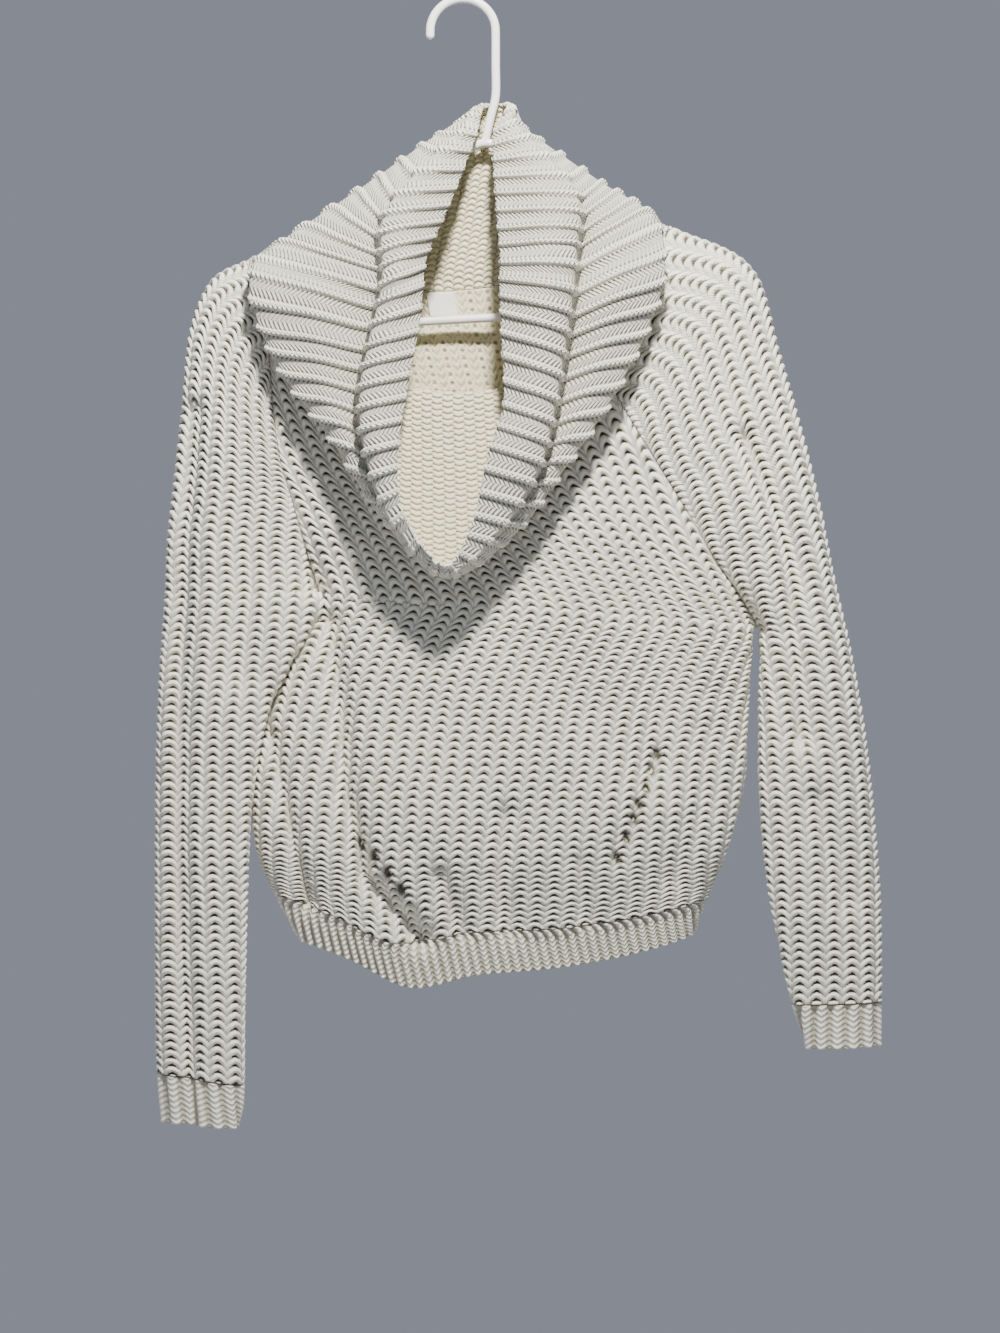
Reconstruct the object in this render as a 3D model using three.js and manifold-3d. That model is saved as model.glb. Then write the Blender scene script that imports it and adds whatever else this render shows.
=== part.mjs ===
// A chunky cowl neck sweater with raglan sleeves, hanging on a white plastic tube hanger.
// Millimetres, +Z up, +X to the wearer's left (the right as seen), and the front faces -Y.
// The origin is the inner top of the hanger's hook, where a rod or nail carries it.
import * as THREE from 'three';
import Module from 'manifold-3d';
import { mergeVertices } from 'three/addons/utils/BufferGeometryUtils.js';

const wasm = await Module();
wasm.setup();

// Knit sizes
const wallThickness = 3.6;
const seamGap = 0.5;
const columnRelief = 0.7;
const ribRelief = 1.6;
const hemRibRelief = 0.9;
const cuffRibRelief = 0.9;

// Stitch columns and ribs, counted around each piece
const bodyColumns = 28;
const sleeveColumns = 18;
const hemRibs = 56;
const cuffRibs = 16;

// Segments along each piece
const raglanSegments = 6;
const bodySegments = 8;
const sleeveSegments = 8;

// The cloth's turn at each underarm
const armpitRadius = 6.5;

// How boxy each section is: 1 is an ellipse, and less is flatter with rounder edges
const bodySquareness = 0.6;
const sleeveSquareness = 0.72;

// Hanger sizes
const rodRadius = 3.5;
const hookRadius = 26.4;
const hangerTilt = THREE.MathUtils.degToRad(3.2);
const hangerPeak = new THREE.Vector3(17.6, 0, -110.4);

// Body rows from the hem's edge up to the underarm: side seams, how far front and back stand out, and
// how far the left side lies back behind the sleeve
const bodyRows = [
  { name: 'hem edge', left: [-130, -754], right: [185, -749], front: 27, back: 17, tuck: 0 },
  { name: 'hem top', left: [-145, -716], right: [195, -720], front: 32, back: 20, tuck: 2 },
  { name: 'hip', left: [-159, -678], right: [212, -678], front: 44, back: 23, tuck: 8 },
  { name: 'waist', left: [-165, -626], right: [224, -626], front: 46, back: 24, tuck: 10 },
  { name: 'chest', left: [-154, -566], right: [227, -572], front: 43, back: 22, tuck: 10 },
  { name: 'armpit', left: [-111, -488], right: [231, -514], front: 40, back: 20, tuck: 2 },
  { name: 'underarm', left: [-115, -476], right: [236, -502], front: 39, back: 20, tuck: 0 },
];

// Raglan rows from the underarm up to the neck: seam points, the sleeves' outer edges and the
// depths of body and sleeves
const raglanRows = [
  {
    frontLeft: [-115, 0, -476], frontRight: [236, 0, -502], backLeft: [-115, 0, -476],
    backRight: [236, 0, -502], outerLeft: [-237, -476], outerRight: [305, -502],
    front: 39, back: 20, sleeveLeft: 27, sleeveRight: 33, sleeveBack: 16,
  },
  {
    frontLeft: [-127, -16, -436], frontRight: [222, -14, -478], backLeft: [-125, 11, -438],
    backRight: [225, 10, -470], outerLeft: [-235, -428], outerRight: [296, -462],
    front: 36, back: 19, sleeveLeft: 28, sleeveRight: 34, sleeveBack: 16,
  },
  {
    frontLeft: [-137, -21, -400], frontRight: [200, -20, -446], backLeft: [-131, 14, -394],
    backRight: [210, 14, -422], outerLeft: [-229, -374], outerRight: [286, -410],
    front: 33, back: 18, sleeveLeft: 28, sleeveRight: 34, sleeveBack: 16,
  },
  {
    frontLeft: [-146, -22, -369], frontRight: [178, -23, -409], backLeft: [-136, 15, -350],
    backRight: [194, 15, -366], outerLeft: [-223, -318], outerRight: [271, -346],
    front: 30, back: 17, sleeveLeft: 27, sleeveRight: 32, sleeveBack: 16,
  },
  {
    frontLeft: [-151, -21, -334], frontRight: [154, -23, -370], backLeft: [-140, 15, -306],
    backRight: [178, 15, -310], outerLeft: [-217, -264], outerRight: [253, -282],
    front: 27, back: 17, sleeveLeft: 24, sleeveRight: 28, sleeveBack: 16,
  },
  {
    frontLeft: [-154, -19, -298], frontRight: [130, -20, -330], backLeft: [-144, 15, -262],
    backRight: [162, 15, -252], outerLeft: [-201, -226], outerRight: [230, -214],
    front: 23, back: 16, sleeveLeft: 21, sleeveRight: 24, sleeveBack: 16,
  },
  {
    frontLeft: [-157, -16, -260], frontRight: [110, -17, -292], backLeft: [-147, 14, -220],
    backRight: [146, 13, -196], outerLeft: [-174, -210], outerRight: [166, -182],
    front: 19, back: 15, sleeveLeft: 17, sleeveRight: 18, sleeveBack: 15,
  },
];

// Sleeve rows from the cuff's edge up to the underarm: inner and outer edges, depths, and how far the
// left sleeve's inner side lies forward over the body
const leftSleeveRows = [
  { name: 'cuff edge', inner: [-181, -906], outer: [-241, -901], front: 18, back: 13, tuck: 0 },
  { name: 'cuff top', inner: [-178, -871], outer: [-244, -861], front: 19, back: 14, tuck: 0 },
  { name: 'forearm', inner: [-177, -780], outer: [-245, -780], front: 23, back: 15, tuck: 3 },
  { name: 'elbow', inner: [-172, -660], outer: [-245, -660], front: 25, back: 15, tuck: 11 },
  { name: 'upper arm', inner: [-156, -568], outer: [-243, -568], front: 27, back: 16, tuck: 12 },
  { name: 'armpit', inner: [-120, -488], outer: [-238, -488], front: 27, back: 16, tuck: 3 },
  { name: 'underarm', inner: [-115, -476], outer: [-237, -476], front: 27, back: 16, tuck: 0 },
];
const rightSleeveRows = [
  { name: 'cuff edge', inner: [278, -842], outer: [335, -840], front: 18, back: 13 },
  { name: 'cuff top', inner: [267, -806], outer: [335, -804], front: 19, back: 14 },
  { name: 'forearm', inner: [250, -726], outer: [334, -726], front: 24, back: 15 },
  { name: 'elbow', inner: [241, -648], outer: [328, -648], front: 28, back: 16 },
  { name: 'upper arm', inner: [241, -580], outer: [320, -580], front: 31, back: 16 },
  { name: 'armpit', inner: [241, -514], outer: [308, -514], front: 33, back: 16 },
  { name: 'underarm', inner: [236, -502], outer: [305, -502], front: 33, back: 16 },
];

// Folds of the hung cloth, as paths of [x, z] seen from the front. A positive depth goes inward.
const frontFolds = [
  {
    name: 'long valley beside the left lobe', depth: 11, width: 13,
    path: [[-106, -499], [-98, -562], [-92, -634], [-79, -700], [-34, -750]],
  },
  {
    name: 'slit behind the left lobe', depth: 8, width: 7,
    path: [[-152, -590], [-141, -640], [-133, -680], [-122, -722]],
  },
  { name: 'trough under the cowl', depth: 6, width: 16, path: [[-86, -386], [-94, -450], [-104, -490]] },
  {
    name: 'wide trough on the right', depth: 7, width: 26,
    path: [[142, -378], [154, -450], [160, -522], [150, -610]],
  },
  { name: 'ridge on the right', depth: -5, width: 13, path: [[182, -424], [189, -482], [196, -568]] },
  { name: 'line of worked holes', depth: 3, width: 9, path: [[155, -605], [123, -687]] },
  { name: 'first gather over the hem', depth: 6, width: 9, path: [[-18, -700], [0, -744]] },
  { name: 'second gather over the hem', depth: 5, width: 8, path: [[22, -706], [32, -740]] },
  { name: 'third gather over the hem', depth: 3, width: 9, path: [[92, -700], [100, -736]] },
];
const backFolds = [
  { name: 'left trough', depth: 6, width: 20, path: [[-90, -400], [-80, -590], [-62, -700]] },
  { name: 'right trough', depth: 6, width: 22, path: [[150, -400], [168, -560], [142, -700]] },
  { name: 'middle ridge', depth: -4, width: 34, path: [[24, -420], [10, -690]] },
];
const leftSleeveFolds = [
  {
    name: 'long groove', depth: 10, width: 9.5,
    path: [[-214, -330], [-221, -430], [-225, -520], [-225, -722], [-219, -855], [-218, -910]],
  },
  { name: 'inner trough', depth: 5, width: 16, path: [[-152, -390], [-172, -470], [-176, -540]] },
];
const rightSleeveFolds = [
  {
    name: 'upper valley', depth: 9, width: 10,
    path: [[226, -354], [250, -414], [260, -450], [263, -514], [270, -590]],
  },
  { name: 'elbow trough', depth: 4, width: 13, path: [[284, -642], [305, -722]] },
];

// Sections of the cowl, each at one of its ribs, counted from the nape round the left shoulder.
// edge: where the cloth turns over. crease: the valley in front of it. rim: the free edge.
// roll: how far the band between crease and rim bulges. reach: how far the cloth leans out from
// the seam before it falls. tuck: how far the hidden layer lies back.
const cowlRibs = 52;
const cowlSections = [
  { rib: 0, edge: [19, 13, -108], crease: [22, 12, -94], rim: [26, 11, -80], roll: 0, reach: 0, tuck: 2 },
  { rib: 1.6, edge: [1, 13, -97], crease: [8, 9, -85], rim: [16, -2, -84], roll: 1, reach: 0, tuck: 3 },
  { rib: 3.4, edge: [-20, 7, -106], crease: [-4, -9, -106], rim: [11, -12, -108], roll: 6, reach: 0, tuck: 6 },
  { rib: 7.2, edge: [-80, 3, -148], crease: [-62, -25, -172], rim: [-9, -30, -164], roll: 15, reach: 0, tuck: 7 },
  { rib: 11, edge: [-152, -11, -200], crease: [-64, -44, -226], rim: [-28, -44, -210], roll: 16, reach: 0, tuck: 0 },
  { rib: 12.6, edge: [-167, -37, -225], crease: [-68, -46, -252], rim: [-31, -53, -236], roll: 17, reach: 4, tuck: 0 },
  { rib: 14.2, edge: [-161, -42, -262], crease: [-75, -49, -281], rim: [-34, -60, -267], roll: 17, reach: 9, tuck: 0 },
  { rib: 17, edge: [-138, -46, -309], crease: [-82, -55, -325], rim: [-42, -71, -315], roll: 17, reach: 9, tuck: 0 },
  { rib: 19.6, edge: [-102, -55, -356], crease: [-76, -65, -370], rim: [-49, -81, -363], roll: 14, reach: 9, tuck: 0 },
  { rib: 22.3, edge: [-62, -63, -418], crease: [-56, -76, -420], rim: [-46, -86, -413], roll: 4, reach: 9, tuck: 2 },
  { rib: 25, edge: [-13, -68, -464], crease: [-13, -79, -462], rim: [-14, -88, -456], roll: 1, reach: 9, tuck: 3 },
  { rib: 28, edge: [41, -64, -430], crease: [30, -77, -430], rim: [8, -86, -425], roll: 4, reach: 9, tuck: 2 },
  { rib: 31, edge: [80, -56, -379], crease: [61, -66, -384], rim: [20, -82, -372], roll: 13, reach: 9, tuck: 0 },
  { rib: 33.6, edge: [115, -47, -328], crease: [73, -55, -342], rim: [33, -72, -328], roll: 18, reach: 9, tuck: 0 },
  { rib: 36.6, edge: [147, -40, -266], crease: [83, -49, -288], rim: [31, -63, -271], roll: 20, reach: 9, tuck: 0 },
  { rib: 39, edge: [160, -39, -219], crease: [89, -47, -249], rim: [30, -59, -237], roll: 20, reach: 6, tuck: 0 },
  { rib: 41, edge: [151, -18, -175], crease: [93, -39, -207], rim: [30, -50, -208], roll: 20, reach: 0, tuck: 0 },
  { rib: 44.7, edge: [110, 4, -144], crease: [93, -24, -158], rim: [26, -31, -156], roll: 16, reach: 0, tuck: 7 },
  { rib: 48.2, edge: [55, 8, -106], crease: [46, -8, -102], rim: [25, -12, -110], roll: 7, reach: 0, tuck: 6 },
  { rib: 50.4, edge: [43, 12, -94], crease: [41, 8, -82], rim: [36, -3, -83], roll: 1, reach: 0, tuck: 3 },
];
const cowlKneeRise = 6;
const cowlPuff = 6;
// Where between crease and rim the band stands out most
const crownShare = 0.42;
// Pitches between which the crowded knit goes from pressed flat to free, and how thin it is pressed
const crowdedPitch = 7;
const freePitch = 13;
const pressedShare = 0.7;
// Segments from seam to knee, hidden layer, edge, cape, crease, band crown and rim
const cowlSegments = [1, 2, 2, 3, 2, 2, 2];
// The key at the edge, where the under layer ends and the turned-over layer starts
const cowlEdgeKey = 3;
// Where the ring of ribs passes the raglan seams and the shoulder lines
const ringMarks = {
  backLeft: 9, leftShoulder: 11, frontLeft: 15, frontRight: 33, rightShoulder: 41, backRight: 43,
};

// Neck label, hung under the back neck seam: shares across the back and rows down from the neck
const labelThickness = 0.6;
const labelClearance = 0.3;
const labelShares = [0.395, 0.47];
const labelRows = [0.48, 0.02];

// Catmull-Rom through evenly numbered values; `at` is a position such as 2.4
function spline(values, at, closed = false) {
  const count = values.length;
  const last = closed ? count : count - 1;
  const base = Math.min(Math.max(Math.floor(at), 0), last - 1);
  const t = at - base;
  const pick = (i) => {
    if (closed) {
      return values[((i % count) + count) % count];
    }
    if (i < 0) {
      return 2 * values[0] - values[1];
    }
    if (i >= count) {
      return 2 * values[count - 1] - values[count - 2];
    }
    return values[i];
  };
  const [a, b, c, d] = [pick(base - 1), pick(base), pick(base + 1), pick(base + 2)];
  const linear = (c - a) / 2;
  const square = a - 2.5 * b + 2 * c - d / 2;
  const cube = (d - a) / 2 + 1.5 * (b - c);
  return b + t * (linear + t * (square + t * cube));
}

function splinePoint(rows, column, at) {
  const size = rows[0][column].length;
  const value = (k) => spline(rows.map((row) => row[column][k]), at);
  return size === 2 ? new THREE.Vector3(value(0), 0, value(1)) : new THREE.Vector3(value(0), value(1), value(2));
}

function splineNumber(rows, column, at) {
  return spline(rows.map((row) => row[column]), at);
}

// How far a point lies from a path of straight stretches, seen from the front
function pathDistance(x, z, path) {
  let nearest = Infinity;
  for (let i = 0; i + 1 < path.length; i += 1) {
    const [x0, z0] = path[i];
    const [x1, z1] = path[i + 1];
    const along = ((x - x0) * (x1 - x0) + (z - z0) * (z1 - z0)) / ((x1 - x0) ** 2 + (z1 - z0) ** 2);
    const t = THREE.MathUtils.clamp(along, 0, 1);
    nearest = Math.min(nearest, Math.hypot(x - x0 - t * (x1 - x0), z - z0 - t * (z1 - z0)));
  }
  return nearest;
}

function foldDepth(x, z, folds) {
  return folds.reduce((sum, fold) => {
    const distance = pathDistance(x, z, fold.path);
    return sum + fold.depth * Math.exp(-((distance / fold.width) ** 2));
  }, 0);
}

// Points spaced evenly along a curve given as a function of 0 to 1
function evenly(curve, steps = 48) {
  const points = [];
  const lengths = [0];
  for (let i = 0; i <= steps; i += 1) {
    points.push(curve(i / steps));
    if (i > 0) {
      lengths.push(lengths[i - 1] + points[i].distanceTo(points[i - 1]));
    }
  }
  return (share) => {
    const target = THREE.MathUtils.clamp(share, 0, 1) * lengths[steps];
    let i = 1;
    while (i < steps && lengths[i] < target) {
      i += 1;
    }
    const t = (target - lengths[i - 1]) / (lengths[i] - lengths[i - 1]);
    return curve((i - 1 + t) / steps);
  };
}

// A section from one edge to another that stands out by `depth`, rounded over where an edge
// lies near the garment's middle plane
function arcSection(from, to, depth, squareness) {
  const side = Math.sign(depth);
  const angleOf = (y) => {
    const share = THREE.MathUtils.clamp((side * y) / Math.abs(depth), 0, 1);
    return Math.asin(share ** (1 / squareness));
  };
  const start = angleOf(from.y);
  const end = angleOf(to.y);
  const span = Math.cos(start) + Math.cos(end);
  return (t) => {
    const angle = start + t * (Math.PI - end - start);
    const progress = (Math.cos(start) - Math.cos(angle)) / span;
    const point = from.clone().lerp(to, progress);
    point.y = depth * Math.max(Math.sin(angle), 0) ** squareness;
    return point;
  };
}

function smooth(t) {
  return THREE.MathUtils.smoothstep(t, 0, 1);
}

const underarmRow = bodyRows.length - 1;
const bodyTop = underarmRow + raglanRows.length - 1;
const sleeveUnderarm = leftSleeveRows.length - 1;
const sleeveTop = sleeveUnderarm + raglanRows.length - 1;
// The row of a body or sleeve table where its rib ends
const ribTopRow = 1;

// The front or back raglan seam on one side: its point, the wall's direction there and the way
// across it towards the body
function raglanSeam(face, side, at) {
  const column = `${face}${side}`;
  const point = splinePoint(raglanRows, column, at);
  const tangent = splinePoint(raglanRows, column, at + 0.05).sub(splinePoint(raglanRows, column, at - 0.05));
  const turn = smooth(at / 1.5);
  const outward = face === 'front' ? -1 : 1;
  const normal = new THREE.Vector3(0, outward * turn, turn - 1).normalize();
  const across = new THREE.Vector3().crossVectors(tangent, normal).normalize();
  const towardsBody = side === 'Left' ? 1 : -1;
  if (across.x * towardsBody < 0) {
    across.negate();
  }
  return { point, normal, across };
}

// The edge of the front or back panel: the side seam below the underarm, the raglan above it
function bodyEdge(face, side, at) {
  if (at > underarmRow) {
    const seam = raglanSeam(face, side, at - underarmRow);
    return { point: seam.point.addScaledVector(seam.across, seamGap / 2), normal: seam.normal };
  }
  const point = splinePoint(bodyRows, side.toLowerCase(), at);
  point.y = (face === 'front' ? -1 : 1) * seamGap / 2;
  const outward = side === 'Left' ? -1 : 1;
  const turn = smooth(at - underarmRow + 1);
  if (at === underarmRow) {
    point.x -= outward * seamGap / 2;
  }
  return { point, normal: new THREE.Vector3(outward * (1 - turn), 0, -turn).normalize() };
}

// The edge of a sleeve: the underarm seam below the underarm, the raglan above it
function sleeveEdge(rows, face, side, at) {
  if (at > sleeveUnderarm) {
    const seam = raglanSeam(face, side, at - sleeveUnderarm);
    return { point: seam.point.addScaledVector(seam.across, -seamGap / 2), normal: seam.normal };
  }
  const point = splinePoint(rows, 'inner', at);
  point.y = (face === 'front' ? -1 : 1) * seamGap / 2;
  const towardsBody = side === 'Left' ? 1 : -1;
  const turn = smooth(at - sleeveUnderarm + 1);
  if (at === sleeveUnderarm) {
    point.x -= towardsBody * seamGap / 2;
  }
  return { point, normal: new THREE.Vector3(towardsBody * (1 - turn), 0, -turn).normalize() };
}

// How far the middle of a body row hangs below the line between its edges
function bodySag(face, at, progress) {
  const middle = Math.sin(Math.PI * progress);
  const hemShare = (1 - THREE.MathUtils.clamp((at - ribTopRow) / 1.6, 0, 1)) ** 2;
  const neckShare = THREE.MathUtils.clamp((at - underarmRow) / (bodyTop - underarmRow), 0, 1) ** 1.5;
  if (face === 'back') {
    return 10 * hemShare * middle + 22 * neckShare * middle;
  }
  const hem = 27 * middle ** 0.8 + 22 * Math.exp(-(((progress - 0.26) / 0.13) ** 2)) * middle;
  return hemShare * hem + 48 * neckShare * middle ** 0.8;
}

// How far the cloth beside the underarm leans away from the seam, so that body and sleeve part
function armpitLean(t, rowsAboveUnderarm) {
  const level = Math.max(1 - Math.abs(rowsAboveUnderarm) / (rowsAboveUnderarm > 0 ? 1.6 : 1), 0);
  return armpitRadius * level * smooth(t / 0.04) * (1 - smooth((t - 0.06) / 0.3));
}

function cached(make) {
  const kept = new Map();
  return (key) => {
    if (!kept.has(key)) {
      kept.set(key, make(key));
    }
    return kept.get(key);
  };
}

// The middle surface of the front or back, hem ribs included: `at` runs up the rows, and `share`
// across from left to right
function bodySurface(face) {
  const folds = face === 'front' ? frontFolds : backFolds;
  const outward = face === 'front' ? -1 : 1;
  const section = cached((at) => {
    const left = bodyEdge(face, 'Left', at).point;
    const right = bodyEdge(face, 'Right', at).point;
    const depth = at > underarmRow
      ? splineNumber(raglanRows, face, at - underarmRow)
      : splineNumber(bodyRows, face, at);
    const arc = arcSection(left, right, outward * depth, bodySquareness);
    const tuck = at > underarmRow ? 0 : splineNumber(bodyRows, 'tuck', at);
    return evenly((t) => {
      const point = arc(t);
      const progress = THREE.MathUtils.clamp((point.x - left.x) / (right.x - left.x), 0, 1);
      point.x += armpitLean(t, at - underarmRow) - armpitLean(1 - t, at - underarmRow);
      point.z -= bodySag(face, at, progress);
      point.y -= outward * foldDepth(point.x, point.z, folds) * Math.sin(Math.PI * t) ** 0.4;
      point.y += tuck * (1 - progress) ** 3;
      return point;
    });
  });
  return (share, at) => section(at)(share);
}

// The middle surface of a sleeve: `share` runs from the front seam over the outer edge to the back
function sleeveSurface(rows, side, folds) {
  const depthColumn = `sleeve${side}`;
  const section = cached((at) => {
    const above = at > sleeveUnderarm;
    const row = above ? at - sleeveUnderarm : at;
    const source = above ? raglanRows : rows;
    const outer = splinePoint(source, above ? `outer${side}` : 'outer', row);
    const frontDepth = splineNumber(source, above ? depthColumn : 'front', row);
    const backDepth = splineNumber(source, above ? 'sleeveBack' : 'back', row);
    const front = sleeveEdge(rows, 'front', side, at).point;
    const back = sleeveEdge(rows, 'back', side, at).point;
    const frontArc = arcSection(front, outer, -frontDepth, sleeveSquareness);
    const backArc = arcSection(outer, back, backDepth, sleeveSquareness);
    const towardsSleeve = side === 'Left' ? -1 : 1;
    const tuck = above || side === 'Right' ? 0 : splineNumber(rows, 'tuck', at);
    const forward = (point) => {
      const inward = (point.x - outer.x) / (front.x - outer.x);
      point.y -= tuck * THREE.MathUtils.clamp(inward, 0, 1) ** 3;
    };
    const folded = (t) => {
      const point = frontArc(t);
      point.x += towardsSleeve * armpitLean(t, at - sleeveUnderarm);
      point.y += foldDepth(point.x, point.z, folds) * Math.sin(Math.PI * t) ** 0.4;
      forward(point);
      return point;
    };
    const plain = (t) => {
      const point = backArc(t);
      forward(point);
      point.x += towardsSleeve * armpitLean(1 - t, at - sleeveUnderarm);
      return point;
    };
    const first = evenly(folded);
    const second = evenly(plain);
    return (share) => (share < 0.5 ? first(2 * share) : second(2 * share - 1));
  });
  return (share, at) => section(at)(share);
}

// The wall's outward direction at a place on a surface
function surfaceNormal(surface, share, at, limits) {
  const step = 0.01;
  const low = Math.max(share - step, limits.share[0]);
  const high = Math.min(share + step, limits.share[1]);
  const down = Math.max(at - 2 * step, limits.at[0]);
  const up = Math.min(at + 2 * step, limits.at[1]);
  const around = surface(high, at).clone().sub(surface(low, at));
  const along = surface(share, up).clone().sub(surface(share, down));
  return new THREE.Vector3().crossVectors(around, along).normalize();
}

// A closed wall over a grid of places. The outer face follows every place and carries the relief,
// and the inner face is plain, on every second place.
function knitWall({ places, outer, inner, closed }) {
  const across = places.length;
  const along = places[0].length;
  const positions = [];
  const outerIndex = [];
  const innerIndex = [];
  const add = (point) => {
    positions.push(point.x, point.y, point.z);
    return positions.length / 3 - 1;
  };
  for (let i = 0; i < across; i += 1) {
    outerIndex.push(places[i].map(outer).map(add));
  }
  for (let i = 0; i < across; i += 2) {
    innerIndex.push(places[i].map(inner).map(add));
  }
  const triangles = [];
  const o = (i, j) => outerIndex[i % across][j];
  const p = (k, j) => innerIndex[k % innerIndex.length][j];
  const quad = (a, b, c, d) => triangles.push(a, b, c, a, c, d);
  const strips = closed ? across / 2 : (across - 1) / 2;
  for (let k = 0; k < strips; k += 1) {
    const i = 2 * k;
    for (let j = 0; j + 1 < along; j += 1) {
      quad(o(i, j), o(i + 1, j), o(i + 1, j + 1), o(i, j + 1));
      quad(o(i + 1, j), o(i + 2, j), o(i + 2, j + 1), o(i + 1, j + 1));
      quad(p(k, j), p(k, j + 1), p(k + 1, j + 1), p(k + 1, j));
    }
    const top = along - 1;
    triangles.push(o(i + 1, 0), o(i, 0), p(k, 0));
    triangles.push(o(i + 1, 0), p(k, 0), p(k + 1, 0));
    triangles.push(o(i + 2, 0), o(i + 1, 0), p(k + 1, 0));
    triangles.push(o(i, top), o(i + 1, top), p(k, top));
    triangles.push(o(i + 1, top), p(k + 1, top), p(k, top));
    triangles.push(o(i + 1, top), o(i + 2, top), p(k + 1, top));
  }
  if (!closed) {
    for (let j = 0; j + 1 < along; j += 1) {
      quad(o(0, j), o(0, j + 1), p(0, j + 1), p(0, j));
      quad(o(across - 1, j), p(strips, j), p(strips, j + 1), o(across - 1, j + 1));
    }
  }
  const geometry = new THREE.BufferGeometry();
  geometry.setAttribute('position', new THREE.Float32BufferAttribute(positions, 3));
  geometry.setIndex(triangles);
  return facingOut(geometry);
}

function signedVolume(geometry) {
  const position = geometry.attributes.position;
  const index = geometry.index;
  let volume = 0;
  for (let i = 0; i < index.count; i += 3) {
    const [a, b, c] = [0, 1, 2].map((k) => new THREE.Vector3().fromBufferAttribute(position, index.getX(i + k)));
    volume += a.dot(b.cross(c)) / 6;
  }
  return volume;
}

function facingOut(geometry) {
  if (signedVolume(geometry) < 0) {
    const index = geometry.index;
    for (let i = 0; i < index.count; i += 3) {
      const kept = index.getX(i + 1);
      index.setX(i + 1, index.getX(i + 2));
      index.setX(i + 2, kept);
    }
  }
  geometry.computeVertexNormals();
  return geometry;
}

function range(from, to, segments) {
  return Array.from({ length: segments + 1 }, (_, i) => from + (to - from) * (i / segments));
}

// A wall on a body or sleeve surface between two rows. edgeNormal gives the wall's direction at
// the piece's own seams, so that neighbours meet face to face.
function surfaceWall({ surface, top, ats, columns, relief, edgeNormal, flip, shift }) {
  const limits = { share: [0, 1], at: [0, top] };
  const shares = range(0, 1, 2 * columns);
  const places = shares.map((share, i) => ats.map((at, j) => {
    const point = surface(share, at).clone();
    let normal = surfaceNormal(surface, share, at, limits).multiplyScalar(flip ? -1 : 1);
    if (i === 0 || i === shares.length - 1) {
      normal = edgeNormal(i === 0, at);
    }
    if (at === ribTopRow) {
      normal.setZ(0).normalize();
    }
    if (shift && (j === 0 || j === ats.length - 1)) {
      point.z += j === 0 ? shift[0] : -shift[1];
    }
    const plain = i % 2 === 0 || j === ats.length - 1;
    return { point, normal, raised: plain ? 0 : relief };
  }));
  return knitWall({
    places,
    outer: (place) => place.point.clone().addScaledVector(place.normal, wallThickness / 2 + place.raised),
    inner: (place) => place.point.clone().addScaledVector(place.normal, -wallThickness / 2),
    closed: false,
  });
}

const surfaces = {
  front: bodySurface('front'),
  back: bodySurface('back'),
  sleeveLeft: sleeveSurface(leftSleeveRows, 'Left', leftSleeveFolds),
  sleeveRight: sleeveSurface(rightSleeveRows, 'Right', rightSleeveFolds),
};

function bodyWall(face, ats, columns, relief, shift) {
  return surfaceWall({
    surface: surfaces[face],
    top: bodyTop,
    ats,
    columns,
    relief,
    edgeNormal: (isLeft, at) => bodyEdge(face, isLeft ? 'Left' : 'Right', at).normal,
    flip: face === 'back',
    shift,
  });
}

function sleeveWall(side, ats, columns, relief, shift) {
  const rows = side === 'Left' ? leftSleeveRows : rightSleeveRows;
  return surfaceWall({
    surface: surfaces[`sleeve${side}`],
    top: sleeveTop,
    ats,
    columns,
    relief,
    edgeNormal: (isFront, at) => sleeveEdge(rows, isFront ? 'front' : 'back', side, at).normal,
    flip: side === 'Left',
    shift,
  });
}

// The neckline as one ring of rib places. Each gives the point on the panel that the cowl is sewn
// to, the wall's direction there and the way the panel's cloth runs up.
const cornerStep = 0.3;
function neckPlace(rib) {
  const at = (rib + cowlRibs) % cowlRibs;
  const marks = ringMarks;
  const backSpan = marks.backLeft + cowlRibs - marks.backRight;
  const between = (from, to) => (at - from) / (to - from);
  let piece = 'back';
  let share = 0;
  if (at < marks.backLeft) {
    share = (marks.backLeft - at) / backSpan;
  } else if (at < marks.leftShoulder) {
    piece = 'sleeveLeft';
    share = 1 - between(marks.backLeft, marks.leftShoulder) / 2;
  } else if (at < marks.frontLeft) {
    piece = 'sleeveLeft';
    share = 0.5 - between(marks.leftShoulder, marks.frontLeft) / 2;
  } else if (at < marks.frontRight) {
    piece = 'front';
    share = between(marks.frontLeft, marks.frontRight);
  } else if (at < marks.rightShoulder) {
    piece = 'sleeveRight';
    share = between(marks.frontRight, marks.rightShoulder) / 2;
  } else if (at < marks.backRight) {
    piece = 'sleeveRight';
    share = 0.5 + between(marks.rightShoulder, marks.backRight) / 2;
  } else {
    share = 1 - (at - marks.backRight) / backSpan;
  }
  const top = piece.startsWith('sleeve') ? sleeveTop : bodyTop;
  const surface = surfaces[piece];
  const limits = { share: [0, 1], at: [0, top] };
  const normal = surfaceNormal(surface, share, top, limits);
  if (piece === 'back' || piece === 'sleeveLeft') {
    normal.negate();
  }
  const point = surface(share, top).clone();
  const corner = [marks.backLeft, marks.frontLeft, marks.frontRight, marks.backRight].includes(at);
  if (corner) {
    normal.set(0, at === marks.frontLeft || at === marks.frontRight ? -1 : 1, 0);
    const up = neckPlace(at - cornerStep).up.add(neckPlace(at + cornerStep).up).normalize();
    return { point, normal, up };
  }
  const up = point.clone().sub(surface(share, top - 0.1));
  up.addScaledVector(normal, -up.dot(normal)).normalize();
  return { point, normal, up };
}

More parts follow.
